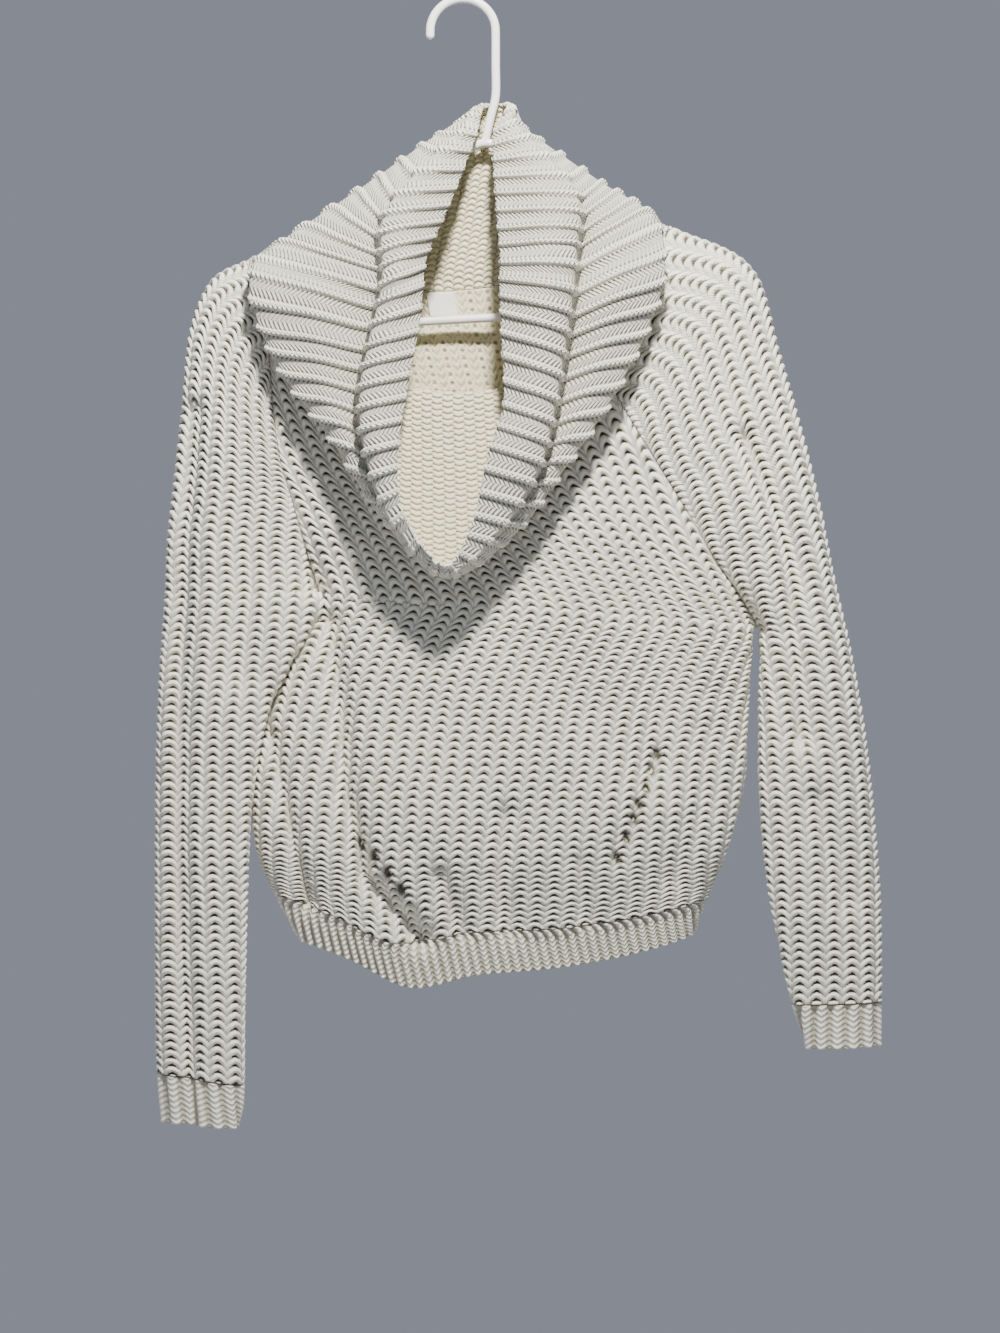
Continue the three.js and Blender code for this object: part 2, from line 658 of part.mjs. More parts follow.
// A column of the cowl's table at any rib, by a spline through the sections
function cowlValue(rib, read) {
  const sections = cowlSections;
  const at = (rib + cowlRibs) % cowlRibs;
  let i = sections.length - 1;
  while (i > 0 && sections[i].rib > at) {
    i -= 1;
  }
  const next = i + 1 < sections.length ? sections[i + 1].rib : cowlRibs;
  const t = (at - sections[i].rib) / (next - sections[i].rib);
  return spline(sections.map(read), i + t, true);
}

function cowlPoint(rib, column) {
  return new THREE.Vector3(...[0, 1, 2].map((k) => cowlValue(rib, (section) => section[column][k])));
}

// The cowl stands a little further off where the neckline turns a corner
function cornerClearance(rib) {
  const { backLeft, frontLeft, frontRight, backRight } = ringMarks;
  const distances = [backLeft, frontLeft, frontRight, backRight].map((mark) => Math.abs(rib - mark));
  return 1.5 * Math.exp(-(Math.min(...distances) ** 2));
}

// The points that one rib of the cowl passes from its seam to its free rim
function cowlKeys(rib) {
  const neck = neckPlace(rib);
  const seam = neck.point.clone().addScaledVector(neck.up, seamGap + cornerClearance(rib));
  const reach = Math.max(cowlValue(rib, (section) => section.reach), 0);
  const knee = seam.clone().addScaledVector(neck.up, cowlKneeRise).addScaledVector(neck.normal, reach);
  const edge = cowlPoint(rib, 'edge');
  const crease = cowlPoint(rib, 'crease');
  const rim = cowlPoint(rib, 'rim');
  const hidden = knee.clone().lerp(edge, 0.5);
  hidden.y += cowlValue(rib, (section) => section.tuck);
  const roll = Math.max(cowlValue(rib, (section) => section.roll), 0);
  const cape = edge.clone().lerp(crease, 0.5);
  cape.y -= Math.min(cowlPuff, edge.distanceTo(crease) / 8);
  const crown = crease.clone().lerp(rim, crownShare);
  crown.y -= roll;
  return { neck, keys: [seam, knee, hidden, edge, cape, crease, crown, rim] };
}

const cowlPath = cached((rib) => {
  const { neck, keys } = cowlKeys(rib);
  const curve = new THREE.CatmullRomCurve3(keys, false, 'centripetal');
  return { neck, at: (along) => curve.getPoint(along / cowlSegments.length) };
});

// The way from seam to rim at a place on the cowl
function cowlUp(rib, along) {
  const step = 0.02;
  const high = cowlPath(rib).at(Math.min(along + step, cowlSegments.length));
  return high.sub(cowlPath(rib).at(Math.max(along - step, 0))).normalize();
}

function cowlNormal(rib, along) {
  const around = cowlPath(rib + 0.25).at(along).sub(cowlPath(rib - 0.25).at(along));
  return new THREE.Vector3().crossVectors(around, cowlUp(rib, along)).normalize();
}

// Where the ribs crowd together the knit is pressed flatter: 0 is fully pressed, 1 is free
function ribRoom(rib, along) {
  const pitch = cowlPath(rib + 0.5).at(along).distanceTo(cowlPath(rib - 0.5).at(along));
  return smooth((pitch - crowdedPitch) / (freePitch - crowdedPitch));
}

// A layer of the cowl between two of its keys. A layer ends half a seam gap short of the next one.
function cowlWall(from, to) {
  const alongs = [from];
  cowlSegments.slice(from, to).forEach((segments, i) => {
    range(from + i, from + i + 1, segments).slice(1).forEach((along) => alongs.push(along));
  });
  const shortened = (rib, along) => {
    const cut = (along === to && to < cowlSegments.length ? -1 : 0) + (along === from && from > 0 ? 1 : 0);
    return cowlPath(rib).at(along).addScaledVector(cowlUp(rib, along), cut * seamGap / 2);
  };
  const places = range(0, cowlRibs, 2 * cowlRibs).slice(0, -1).map((rib, i) => alongs.map((along) => {
    const path = cowlPath(rib);
    const normal = along === 0 ? path.neck.normal.clone() : cowlNormal(rib, along);
    const room = ribRoom(rib, along);
    const raised = i % 2 === 0 ? 0 : ribRelief * room * smooth(along / 2);
    const half = (wallThickness / 2) * (pressedShare + (1 - pressedShare) * room);
    return { point: shortened(rib, along), normal, raised, half };
  }));
  return knitWall({
    places,
    outer: (place) => place.point.clone().addScaledVector(place.normal, place.half + place.raised),
    inner: (place) => place.point.clone().addScaledVector(place.normal, -place.half),
    closed: true,
  });
}

// The blank label lies inside the back, hung from the neck seam
function labelWall() {
  const surface = surfaces.back;
  const limits = { share: [0, 1], at: [0, bodyTop] };
  const clear = wallThickness / 2 + labelClearance;
  const rows = range(bodyTop - labelRows[0], bodyTop - labelRows[1], 2);
  const places = range(labelShares[0], labelShares[1], 4).map((share) => rows.map((at) => ({
    point: surface(share, at).clone(),
    normal: surfaceNormal(surface, share, at, limits),
  })));
  return knitWall({
    places,
    outer: (place) => place.point.clone().addScaledVector(place.normal, clear + labelThickness),
    inner: (place) => place.point.clone().addScaledVector(place.normal, clear),
    closed: false,
  });
}

function tubeAlong(curve, steps) {
  const section = new THREE.Shape();
  section.absarc(0, 0, rodRadius, 0, 2 * Math.PI);
  return new THREE.ExtrudeGeometry(section, { steps, curveSegments: 4, bevelEnabled: false, extrudePath: curve });
}

function solidOf(geometry) {
  geometry.deleteAttribute('normal');
  geometry.deleteAttribute('uv');
  const merged = mergeVertices(geometry, 1e-4);
  return new wasm.Manifold(new wasm.Mesh({
    numProp: 3,
    vertProperties: new Float32Array(merged.attributes.position.array),
    triVerts: new Uint32Array(merged.index.array),
  }));
}

function geometryOf(solid) {
  const mesh = solid.getMesh();
  const geometry = new THREE.BufferGeometry();
  geometry.setAttribute('position', new THREE.Float32BufferAttribute(mesh.vertProperties, 3));
  geometry.setIndex(Array.from(mesh.triVerts));
  geometry.computeVertexNormals();
  return geometry;
}

// Half of the hanger's frame: from the peak along the arm, round its end and back along the bar
function hangerHalf(side) {
  const points = [[-4, -1], [10, -5], [75, -47], [146, -91], [188, -112.5], [198, -126], [188, -140], [154, -143], [-4, -143]];
  return points.map(([x, z]) => {
    const turned = new THREE.Vector3(side * x, 0, z).applyAxisAngle(new THREE.Vector3(0, 1, 0), -hangerTilt);
    return turned.add(hangerPeak);
  });
}

function hangerGeometry() {
  const hookCentre = new THREE.Vector3(0, 0, rodRadius - hookRadius);
  const hookPoints = [new THREE.Vector3(-hookRadius, 0, hookCentre.z - 3)];
  range(Math.PI, 0, 10).forEach((angle) => {
    const x = hookRadius * Math.cos(angle);
    hookPoints.push(new THREE.Vector3(x, 0, hookCentre.z + hookRadius * Math.sin(angle)));
  });
  hookPoints.push(new THREE.Vector3(26.5, 0, -50), new THREE.Vector3(26.3, 0, -76));
  hookPoints.push(new THREE.Vector3(22.5, 0, -92), new THREE.Vector3(17.8, 0, -112));
  const hook = solidOf(tubeAlong(new THREE.CatmullRomCurve3(hookPoints, false, 'centripetal'), 26));
  const tip = solidOf(new THREE.SphereGeometry(rodRadius, 8, 6).translate(...hookPoints[0].toArray()));
  const frame = [-1, 1].map((side) => solidOf(tubeAlong(new THREE.CatmullRomCurve3(hangerHalf(side)), 26)));
  return geometryOf(hook.add(tip).add(frame[0]).add(frame[1]));
}

const ivory = { color: 0xe9e6da, roughness: 0.95, metalness: 0 };
const materials = {
  knit: new THREE.MeshStandardMaterial(ivory),
  rib: new THREE.MeshStandardMaterial({ ...ivory, color: 0xe4e1d3 }),
  plastic: new THREE.MeshStandardMaterial({ color: 0xf4f4f6, roughness: 0.25, metalness: 0 }),
  label: new THREE.MeshStandardMaterial({ color: 0xf0eee8, roughness: 0.7, metalness: 0 }),
};

const sweater = new THREE.Group();

function addPiece(name, geometry, material) {
  const mesh = new THREE.Mesh(geometry, material);
  mesh.name = name;
  sweater.add(mesh);
}

const bodyAts = [
  ...range(ribTopRow, underarmRow - 1, bodySegments),
  ...range(underarmRow, bodyTop, raglanSegments),
];
const sleeveAts = [
  ...range(ribTopRow, sleeveUnderarm - 1, sleeveSegments),
  ...range(sleeveUnderarm, sleeveTop, raglanSegments),
];
const ribShift = [0, seamGap];

addPiece('hanger', hangerGeometry(), materials.plastic);
addPiece('front_panel', bodyWall('front', bodyAts, bodyColumns, columnRelief), materials.knit);
addPiece('back_panel', bodyWall('back', bodyAts, bodyColumns, columnRelief), materials.knit);
addPiece('hem_rib_front', bodyWall('front', [0, ribTopRow], hemRibs, hemRibRelief, ribShift), materials.rib);
addPiece('hem_rib_back', bodyWall('back', [0, ribTopRow], hemRibs, hemRibRelief, ribShift), materials.rib);
addPiece('sleeve_left', sleeveWall('Left', sleeveAts, sleeveColumns, columnRelief), materials.knit);
addPiece('sleeve_right', sleeveWall('Right', sleeveAts, sleeveColumns, columnRelief), materials.knit);
addPiece('cuff_left', sleeveWall('Left', [0, ribTopRow], cuffRibs, cuffRibRelief, ribShift), materials.rib);
addPiece('cuff_right', sleeveWall('Right', [0, ribTopRow], cuffRibs, cuffRibRelief, ribShift), materials.rib);
addPiece('cowl_under', cowlWall(0, cowlEdgeKey), materials.rib);
addPiece('cowl_over', cowlWall(cowlEdgeKey, cowlSegments.length), materials.rib);
addPiece('neck_label', labelWall(), materials.label);

export default sweater;
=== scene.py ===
# %% [markdown]
# # A chunky cowl neck sweater on its hanger
# The garment is knitted from thick ivory yarn: two raglan panels, two sleeves, ribbed hem and cuffs, and
# a wide rib cowl that falls open over the chest. A plastic hanger carries it by the shoulders.
# Blender has no knitting tool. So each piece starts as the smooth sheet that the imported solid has,
# worked out again from the same tables, and its stitches are then raised on a fine grid of points.

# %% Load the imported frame
import math
import bpy
import numpy as np
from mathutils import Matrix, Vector


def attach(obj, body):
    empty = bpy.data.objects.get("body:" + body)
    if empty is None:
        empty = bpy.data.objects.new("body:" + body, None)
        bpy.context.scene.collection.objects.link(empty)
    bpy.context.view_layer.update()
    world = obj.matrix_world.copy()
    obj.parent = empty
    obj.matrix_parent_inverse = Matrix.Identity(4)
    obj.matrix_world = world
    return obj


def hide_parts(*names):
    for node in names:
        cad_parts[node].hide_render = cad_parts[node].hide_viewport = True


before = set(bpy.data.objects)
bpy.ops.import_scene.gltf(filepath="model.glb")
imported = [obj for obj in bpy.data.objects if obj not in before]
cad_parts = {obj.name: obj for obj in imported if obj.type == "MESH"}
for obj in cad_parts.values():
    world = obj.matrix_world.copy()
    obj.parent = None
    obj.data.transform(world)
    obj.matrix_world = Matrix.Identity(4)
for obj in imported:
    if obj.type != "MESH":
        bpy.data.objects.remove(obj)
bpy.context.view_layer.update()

MM = 0.001

# %% [markdown]
# ## Sizes
# The tables are the pattern of the garment as it hangs, in millimetres. Each row is a level up the
# piece, with the points of its side seams and how far the cloth stands out to the front and the back.

# %% Driving sizes
wall_thickness = 3.6
seam_gap = 0.5
armpit_radius = 6.5
body_squareness = 0.6
sleeve_squareness = 0.72
column_pitch = 13.2
row_pitch = 6.8
yarn_radius = 2.25
rod_radius = 3.5
hook_radius = 26.4

# %% Body table, from the hem's edge up to the underarm
body_left = [(-130, -754), (-150, -716), (-165, -678), (-167, -626), (-154, -566), (-117, -488), (-115, -476)]
body_right = [(185, -749), (195, -720), (212, -678), (224, -626), (227, -572), (231, -514), (236, -502)]
body_tuck = [0, 2, 8, 10, 10, 5, 0]
body_depth = {"front": [27, 32, 44, 46, 43, 40, 39], "back": [17, 20, 23, 24, 22, 20, 20]}

# %% Raglan table, from the underarm up to the neck
raglan = {
    "frontLeft": [(-115, 0, -476), (-127, -16, -436), (-137, -21, -400), (-146, -22, -369),
                  (-151, -21, -334), (-154, -19, -298), (-157, -16, -260)],
    "frontRight": [(236, 0, -502), (222, -14, -478), (200, -20, -446), (178, -23, -409),
                   (154, -23, -370), (130, -20, -330), (110, -17, -292)],
    "backLeft": [(-115, 0, -476), (-125, 11, -438), (-131, 14, -394), (-136, 15, -350),
                 (-140, 15, -306), (-144, 15, -262), (-147, 14, -220)],
    "backRight": [(236, 0, -502), (225, 10, -470), (210, 14, -422), (194, 15, -366),
                  (178, 15, -310), (162, 15, -252), (146, 13, -196)],
    "outerLeft": [(-237, 0, -476), (-235, 0, -428), (-229, 0, -374), (-223, 0, -318),
                  (-217, 0, -264), (-201, 0, -226), (-174, 0, -210)],
    "outerRight": [(305, 0, -502), (296, 0, -462), (286, 0, -410), (271, 0, -346),
                   (253, 0, -282), (230, 0, -214), (166, 0, -182)],
}
raglan_depth = {
    "front": [39, 36, 33, 30, 27, 23, 19], "back": [20, 19, 18, 17, 17, 16, 15],
    "sleeveLeft": [27, 28, 28, 27, 24, 21, 17], "sleeveRight": [33, 34, 34, 32, 28, 24, 18],
    "sleeveBack": [16, 16, 16, 16, 16, 16, 15],
}

# %% Sleeve tables, from the cuff's edge up to the underarm
sleeves = {
    "Left": {
        "inner": [(-181, -906), (-178, -871), (-177, -780), (-172, -660), (-156, -568), (-114, -488), (-115, -476)],
        "outer": [(-241, -901), (-244, -861), (-245, -780), (-245, -660), (-243, -568), (-238, -488), (-237, -476)],
        "front": [18, 19, 23, 25, 27, 27, 27], "back": [13, 14, 15, 15, 16, 16, 16], "tuck": [0, 0, 3, 11, 12, 6, 0],
    },
    "Right": {
        "inner": [(278, -842), (267, -806), (250, -726), (241, -648), (241, -580), (241, -514), (236, -502)],
        "outer": [(335, -840), (335, -804), (334, -726), (328, -648), (320, -580), (308, -514), (305, -502)],
        "front": [18, 19, 24, 28, 31, 33, 33], "back": [13, 14, 15, 16, 16, 16, 16], "tuck": [0, 0, 0, 0, 0, 0, 0],
    },
}
rib_top = 1
underarm = 6
top = 12

# %% Folds of the hung cloth: depth inward, width, and a path seen from the front
folds = {
    "front": [
        (17, 10.5, [(-106, -499), (-98, -562), (-92, -634), (-79, -700), (-34, -750)]),
        (11, 7, [(-152, -590), (-141, -640), (-133, -680), (-122, -722)]),
        (6, 16, [(-86, -386), (-94, -450), (-104, -490)]),
        (9, 22, [(142, -378), (154, -450), (160, -522), (150, -610)]),
        (-5, 13, [(182, -424), (189, -482), (196, -568)]),
        (3, 9, [(155, -605), (123, -687)]),
        (6, 9, [(-18, -700), (0, -744)]),
        (7, 12, [(34, -655), (30, -700), (36, -740)]),
        (4, 9, [(92, -690), (100, -736)]),
        (5, 14, [(196, -560), (192, -640), (170, -700)]),
    ],
    "back": [
        (6, 20, [(-90, -400), (-80, -590), (-62, -700)]),
        (6, 22, [(150, -400), (168, -560), (142, -700)]),
        (-4, 34, [(24, -420), (10, -690)]),
    ],
    "Left": [
        (10, 9.5, [(-214, -330), (-221, -430), (-225, -520), (-225, -722), (-219, -855), (-218, -910)]),
        (5, 16, [(-152, -390), (-172, -470), (-176, -540)]),
    ],
    "Right": [
        (11, 10, [(226, -354), (250, -414), (260, -450), (263, -514), (270, -590)]),
        (6, 12, [(284, -642), (305, -722)]),
    ],
}

# %% Cowl table: rib, edge, crease, rim, roll, reach, tuck
cowl_ribs = 52
cowl_sections = [
    (0, (19, 13, -108), (22, 12, -94), (26, 11, -80), 0, 0, 2),
    (1.6, (1, 13, -97), (8, 9, -85), (16, -2, -84), 1, 0, 3),
    (3.4, (-20, 7, -106), (-4, -9, -106), (11, -12, -108), 6, 0, 6),
    (7.2, (-80, 3, -148), (-62, -25, -172), (-9, -30, -164), 15, 0, 7),
    (11, (-152, -11, -200), (-64, -44, -226), (-28, -44, -210), 16, 0, 0),
    (12.6, (-167, -37, -225), (-68, -46, -252), (-31, -53, -236), 17, 4, 0),
    (14.2, (-161, -42, -262), (-75, -49, -281), (-34, -60, -267), 17, 9, 0),
    (17, (-138, -46, -309), (-82, -55, -325), (-42, -71, -315), 17, 9, 0),
    (19.6, (-102, -55, -356), (-76, -65, -370), (-49, -81, -363), 14, 9, 0),
    (22.3, (-62, -63, -418), (-56, -76, -420), (-46, -86, -413), 4, 9, 2),
    (25, (-13, -68, -464), (-13, -79, -462), (-14, -88, -456), 1, 9, 3),
    (28, (41, -64, -430), (30, -77, -430), (8, -86, -425), 4, 9, 2),
    (31, (80, -56, -379), (61, -66, -384), (20, -82, -372), 13, 9, 0),
    (33.6, (115, -47, -328), (73, -55, -342), (33, -72, -328), 18, 9, 0),
    (36.6, (147, -40, -266), (83, -49, -288), (31, -63, -271), 20, 9, 0),
    (39, (160, -39, -219), (89, -47, -249), (30, -59, -237), 20, 6, 0),
    (41, (151, -18, -175), (93, -39, -207), (30, -50, -208), 20, 0, 0),
    (44.7, (110, 4, -144), (93, -24, -158), (26, -31, -156), 16, 0, 7),
    (48.2, (55, 8, -106), (46, -8, -102), (25, -12, -110), 7, 0, 6),
    (50.4, (43, 12, -94), (41, 8, -82), (36, -3, -83), 1, 0, 3),
]
knee_rise = 6
cape_puff = 6
crown_share = 0.42
cowl_segments = 8
band_shoulder = (0.22, 0.72, 0.25)
marks = {"backLeft": 9, "leftShoulder": 11, "frontLeft": 15, "frontRight": 33, "rightShoulder": 41, "backRight": 43}
print("tables hold", len(body_left), "body rows and", len(cowl_sections), "cowl sections")

# %% [markdown]
# ## From tables to smooth sheets
# A spline runs through the rows, so that a level between two rows has seams and depths too. At each
# level the cloth is an arc from seam to seam. Its points are spaced evenly, because stitches are.

# %% Splines
def spline(values, at, closed=False):
    """Catmull-Rom through evenly numbered values."""
    values = np.asarray(values, float)
    count = len(values) if closed else len(values) - 1
    if closed:
        around = np.concatenate([values[-1:], values, values[:2]])
    else:
        around = np.concatenate([[2 * values[0] - values[1]], values, [2 * values[-1] - values[-2]]])
    at = np.asarray(at, float)
    base = np.clip(np.floor(at).astype(int), 0, count - 1)
    t = at - base
    t = t.reshape(t.shape + (1,) * (values.ndim - 1))
    a, b, c, d = (around[base + k] for k in range(4))
    linear = (c - a) / 2
    square = a - 2.5 * b + 2 * c - d / 2
    cube = (d - a) / 2 + 1.5 * (b - c)
    return b + t * (linear + t * (square + t * cube))


def centripetal(points, at):
    """A spline whose speed follows its points' spacing, so that close points make no loop.
    points is (..., n, 3) and at is a list of places among them."""
    first = 2 * points[..., :1, :] - points[..., 1:2, :]
    last = 2 * points[..., -1:, :] - points[..., -2:-1, :]
    around = np.concatenate([first, points, last], axis=-2)
    base = np.clip(np.floor(at).astype(int), 0, points.shape[-2] - 2)
    t = (at - base)[:, None]
    a, b, c, d = (around[..., base + k, :] for k in range(4))
    gaps = [np.maximum(np.linalg.norm(q - p, axis=-1, keepdims=True), 1e-8) ** 0.5 for p, q in ((a, b), (b, c), (c, d))]
    start = ((b - a) / gaps[0] - (c - a) / (gaps[0] + gaps[1]) + (c - b) / gaps[1]) * gaps[1]
    end = ((c - b) / gaps[1] - (d - b) / (gaps[1] + gaps[2]) + (d - c) / gaps[2]) * gaps[1]
    square = 3 * (c - b) - 2 * start - end
    cube = 2 * (b - c) + start + end
    return b + t * (start + t * (square + t * cube))


def smooth(t):
    t = np.clip(t, 0, 1)
    return t * t * (3 - 2 * t)


def unit(vectors):
    return vectors / np.maximum(np.linalg.norm(vectors, axis=-1, keepdims=True), 1e-12)


# %% Folds and the slight unevenness of soft cloth
def fold_depth(x, z, listed):
    total = np.zeros_like(x)
    for depth, width, path in listed:
        nearest = np.full_like(x, np.inf)
        for (x0, z0), (x1, z1) in zip(path, path[1:]):
            t = ((x - x0) * (x1 - x0) + (z - z0) * (z1 - z0)) / ((x1 - x0) ** 2 + (z1 - z0) ** 2)
            t = np.clip(t, 0, 1)
            nearest = np.minimum(nearest, np.hypot(x - x0 - t * (x1 - x0), z - z0 - t * (z1 - z0)))
        total += depth * np.exp(-((nearest / width) ** 2))
    return total


def unevenness(x, z, side):
    """Soft troughs and ridges a hand wide, about a millimetre deep."""
    wave = np.sin(x / 19 + 0.7 * side) * np.sin(z / 31 + 1.9 * side)
    wave += 0.7 * np.sin(x / 11 - z / 43 + 2.3 * side)
    wave += 0.5 * np.sin(x / 29 + z / 17 + 0.4 * side)
    return 0.9 * wave


# %% Arcs from edge to edge
def arc_section(start, end, depth, squareness):
    side = math.copysign(1, depth)

    def angle_of(y):
        return math.asin(min(max(side * y / abs(depth), 0), 1) ** (1 / squareness))

    first, last = angle_of(start[1]), angle_of(end[1])
    span = math.cos(first) + math.cos(last)

    def at(t):
        angle = first + t * (math.pi - last - first)
        progress = (math.cos(first) - np.cos(angle)) / span
        points = start + (end - start) * progress[:, None]
        points[:, 1] = depth * np.maximum(np.sin(angle), 0) ** squareness
        return points
    return at


def evenly(curve, steps=48):
    """The curve with its points spaced evenly, and its length."""
    t = np.linspace(0, 1, steps + 1)
    points = curve(t)
    lengths = np.concatenate([[0], np.cumsum(np.linalg.norm(np.diff(points, axis=0), axis=1))])
    return lambda shares: curve(np.interp(shares * lengths[-1], lengths, t)), lengths[-1]


# %% Seams of body and sleeves
def seam_point(face, side, above):
    """A raglan seam's point and the way across it towards the body, so many rows above the underarm."""
    column = raglan[face + side]
    point, low, high = (spline(column, above + step) for step in (0, -0.05, 0.05))
    turn = float(smooth(above / 1.5))
    normal = unit(np.array([0, (-turn if face == "front" else turn), turn - 1]))
    across = unit(np.cross(high - low, normal))
    if (across[0] > 0) != (side == "Left"):
        across = -across
    return point, across


def flat_edge(points, at, face, side, towards):
    """A seam in the middle plane below the underarm."""
    x, z = spline(points, at)
    y = (-1 if face == "front" else 1) * seam_gap / 2
    if at == underarm:
        x += towards * seam_gap / 2
    return np.array([x, y, z])


def body_edge(face, side, at):
    if at > underarm:
        point, across = seam_point(face, side, at - underarm)
        return point + across * seam_gap / 2
    return flat_edge(body_left if side == "Left" else body_right, at, face, side, 1 if side == "Left" else -1)


def sleeve_edge(face, side, at):
    if at > underarm:
        point, across = seam_point(face, side, at - underarm)
        return point - across * seam_gap / 2
    return flat_edge(sleeves[side]["inner"], at, face, side, -1 if side == "Left" else 1)


def armpit_lean(t, above):
    """How far the cloth beside the underarm leans away, so that body and sleeve part."""
    level = max(1 - abs(above) / (1.6 if above > 0 else 1), 0)
    return armpit_radius * level * smooth(t / 0.04) * (1 - smooth((t - 0.06) / 0.3))


# %% One level of a panel or a sleeve
def body_sag(face, at, progress):
    """How far the middle of a level hangs below the line between its edges."""
    middle = np.sin(np.pi * progress)
    hem_share = (1 - min(max((at - rib_top) / 1.6, 0), 1)) ** 2
    neck_share = min(max((at - underarm) / (top - underarm), 0), 1) ** 1.5
    if face == "back":
        return 10 * hem_share * middle + 22 * neck_share * middle
    hem = 27 * middle ** 0.8 + 22 * np.exp(-(((progress - 0.26) / 0.13) ** 2)) * middle
    return hem_share * hem + 48 * neck_share * middle ** 0.8


def panel_level(face, at):
    outward = -1 if face == "front" else 1
    left, right = body_edge(face, "Left", at), body_edge(face, "Right", at)
    depth = spline(raglan_depth[face], at - underarm) if at > underarm else spline(body_depth[face], at)
    arc = arc_section(left, right, outward * float(depth), body_squareness)
    tuck = 0 if at > underarm else float(spline(body_tuck, at))

    def curve(t):
        points = arc(t)
        progress = np.clip((points[:, 0] - left[0]) / (right[0] - left[0]), 0, 1)
        points[:, 0] += armpit_lean(t, at - underarm) - armpit_lean(1 - t, at - underarm)
        points[:, 2] -= body_sag(face, at, progress)
        x, z = points[:, 0].copy(), points[:, 2]
        inward = fold_depth(x, z, folds[face]) + unevenness(x, z, outward) * np.sin(np.pi * t)
        points[:, 1] -= outward * inward * np.maximum(np.sin(np.pi * t), 0) ** 0.4
        points[:, 1] += tuck * (1 - progress) ** 3
        return points
    return evenly(curve)


def sleeve_level(side, at):
    above = at > underarm
    table = sleeves[side]
    if above:
        outer = spline(raglan["outer" + side], at - underarm)
        depths = spline(raglan_depth["sleeve" + side], at - underarm), spline(raglan_depth["sleeveBack"], at - underarm)
    else:
        x, z = spline(table["outer"], at)
        outer = np.array([x, 0.0, z])
        depths = spline(table["front"], at), spline(table["back"], at)
    front_arc = arc_section(sleeve_edge("front", side, at), outer, -float(depths[0]), sleeve_squareness)
    back_arc = arc_section(outer, sleeve_edge("back", side, at), float(depths[1]), sleeve_squareness)
    outwards = -1 if side == "Left" else 1
    tuck = 0 if above else float(spline(table["tuck"], at))
    inner_x = sleeve_edge("front", side, at)[0]

    def lie_forward(points):
        inward = np.clip((points[:, 0] - outer[0]) / (inner_x - outer[0]), 0, 1)
        points[:, 1] -= tuck * inward ** 3

    def front(t):
        points = front_arc(t)
        points[:, 0] += outwards * armpit_lean(t, at - underarm)
        x, z = points[:, 0], points[:, 2]
        inward = fold_depth(x, z, folds[side]) + unevenness(x, z, 3) * np.sin(np.pi * t)
        points[:, 1] += inward * np.maximum(np.sin(np.pi * t), 0) ** 0.4
        lie_forward(points)
        return points

    def back(t):
        points = back_arc(t)
        lie_forward(points)
        points[:, 0] += outwards * armpit_lean(1 - t, at - underarm)
        points[:, 1] -= 0.8 * unevenness(points[:, 0], points[:, 2], 5) * np.sin(np.pi * t)
        return points

    (first, first_length), (second, second_length) = evenly(front), evenly(back)

    def both(shares):
        points = np.empty((len(shares), 3))
        ahead = shares < 0.5
        points[ahead] = first(2 * shares[ahead])
        points[~ahead] = second(2 * shares[~ahead] - 1)
        return points
    return both, first_length + second_length


levels = {}


def level(piece, at):
    """A level of a piece, worked out once."""
    key = (piece, round(float(at), 6))
    if key not in levels:
        levels[key] = panel_level(piece, key[1]) if piece in ("front", "back") else sleeve_level(piece, key[1])
    return levels[key]


# %% A grid of points with its outward directions and its sizes along the cloth
outward_sign = {"front": 1, "back": -1, "Left": -1, "Right": 1}


def run_of(piece):
    """Places up a piece and how far along the cloth each lies."""
    fine = np.linspace(0, top, 241)
    middle = np.stack([level(piece, at)[0](np.array([0.3]))[0] for at in fine])
    return fine, np.concatenate([[0], np.cumsum(np.linalg.norm(np.diff(middle, axis=0), axis=1))])


def cloth_grid(piece, shares, ats):
    """points, normals, and how far across and along the cloth each point lies, in millimetres."""
    step, rise = 0.006, 0.012
    low, high = np.maximum(shares - step, 0), np.minimum(shares + step, 1)
    points = np.stack([level(piece, at)[0](shares) for at in ats])
    around = np.stack([level(piece, at)[0](high) - level(piece, at)[0](low) for at in ats])
    up = np.stack([level(piece, min(at + rise, top))[0](shares) - level(piece, max(at - rise, 0))[0](shares) for at in ats])
    normals = unit(np.cross(around, up)) * outward_sign[piece]
    lengths = np.array([level(piece, at)[1] for at in ats])
    across = (shares[None, :] - 0.5) * lengths[:, None]
    fine, run = run_of(piece)
    along = np.repeat(np.interp(ats, fine, run)[:, None], len(shares), axis=1)
    return points, normals, across, along


check = cloth_grid("front", np.linspace(0, 1, 41), np.linspace(rib_top, top, 40))
print("front sheet is", round(float(np.ptp(check[2])), 0), "mm across and", round(float(np.ptp(check[3])), 0), "mm long")

# %% [markdown]
# ## The cowl's sheet
# The cowl is a tube of ribs sewn to the neckline. Each rib is one line from the seam: up, over the
# knee, down the hidden layer, round the edge, over the cape, into the crease, over the band to the rim.

# %% Where the cowl is sewn on
def neck_frames(piece, shares):
    """Points on a piece's top level, the wall's direction there and the way its cloth runs up."""
    def read(at, places):
        return level(piece, at)[0](np.clip(places, 0, 1))
    points = read(top, shares)
    normals = np.cross(read(top, shares + 0.01) - read(top, shares - 0.01), points - read(top - 0.02, shares))
    normals = unit(normals) * outward_sign[piece]
    ups = points - read(top - 0.1, shares)
    ups = unit(ups - normals * np.sum(ups * normals, axis=1, keepdims=True))
    return points, normals, ups


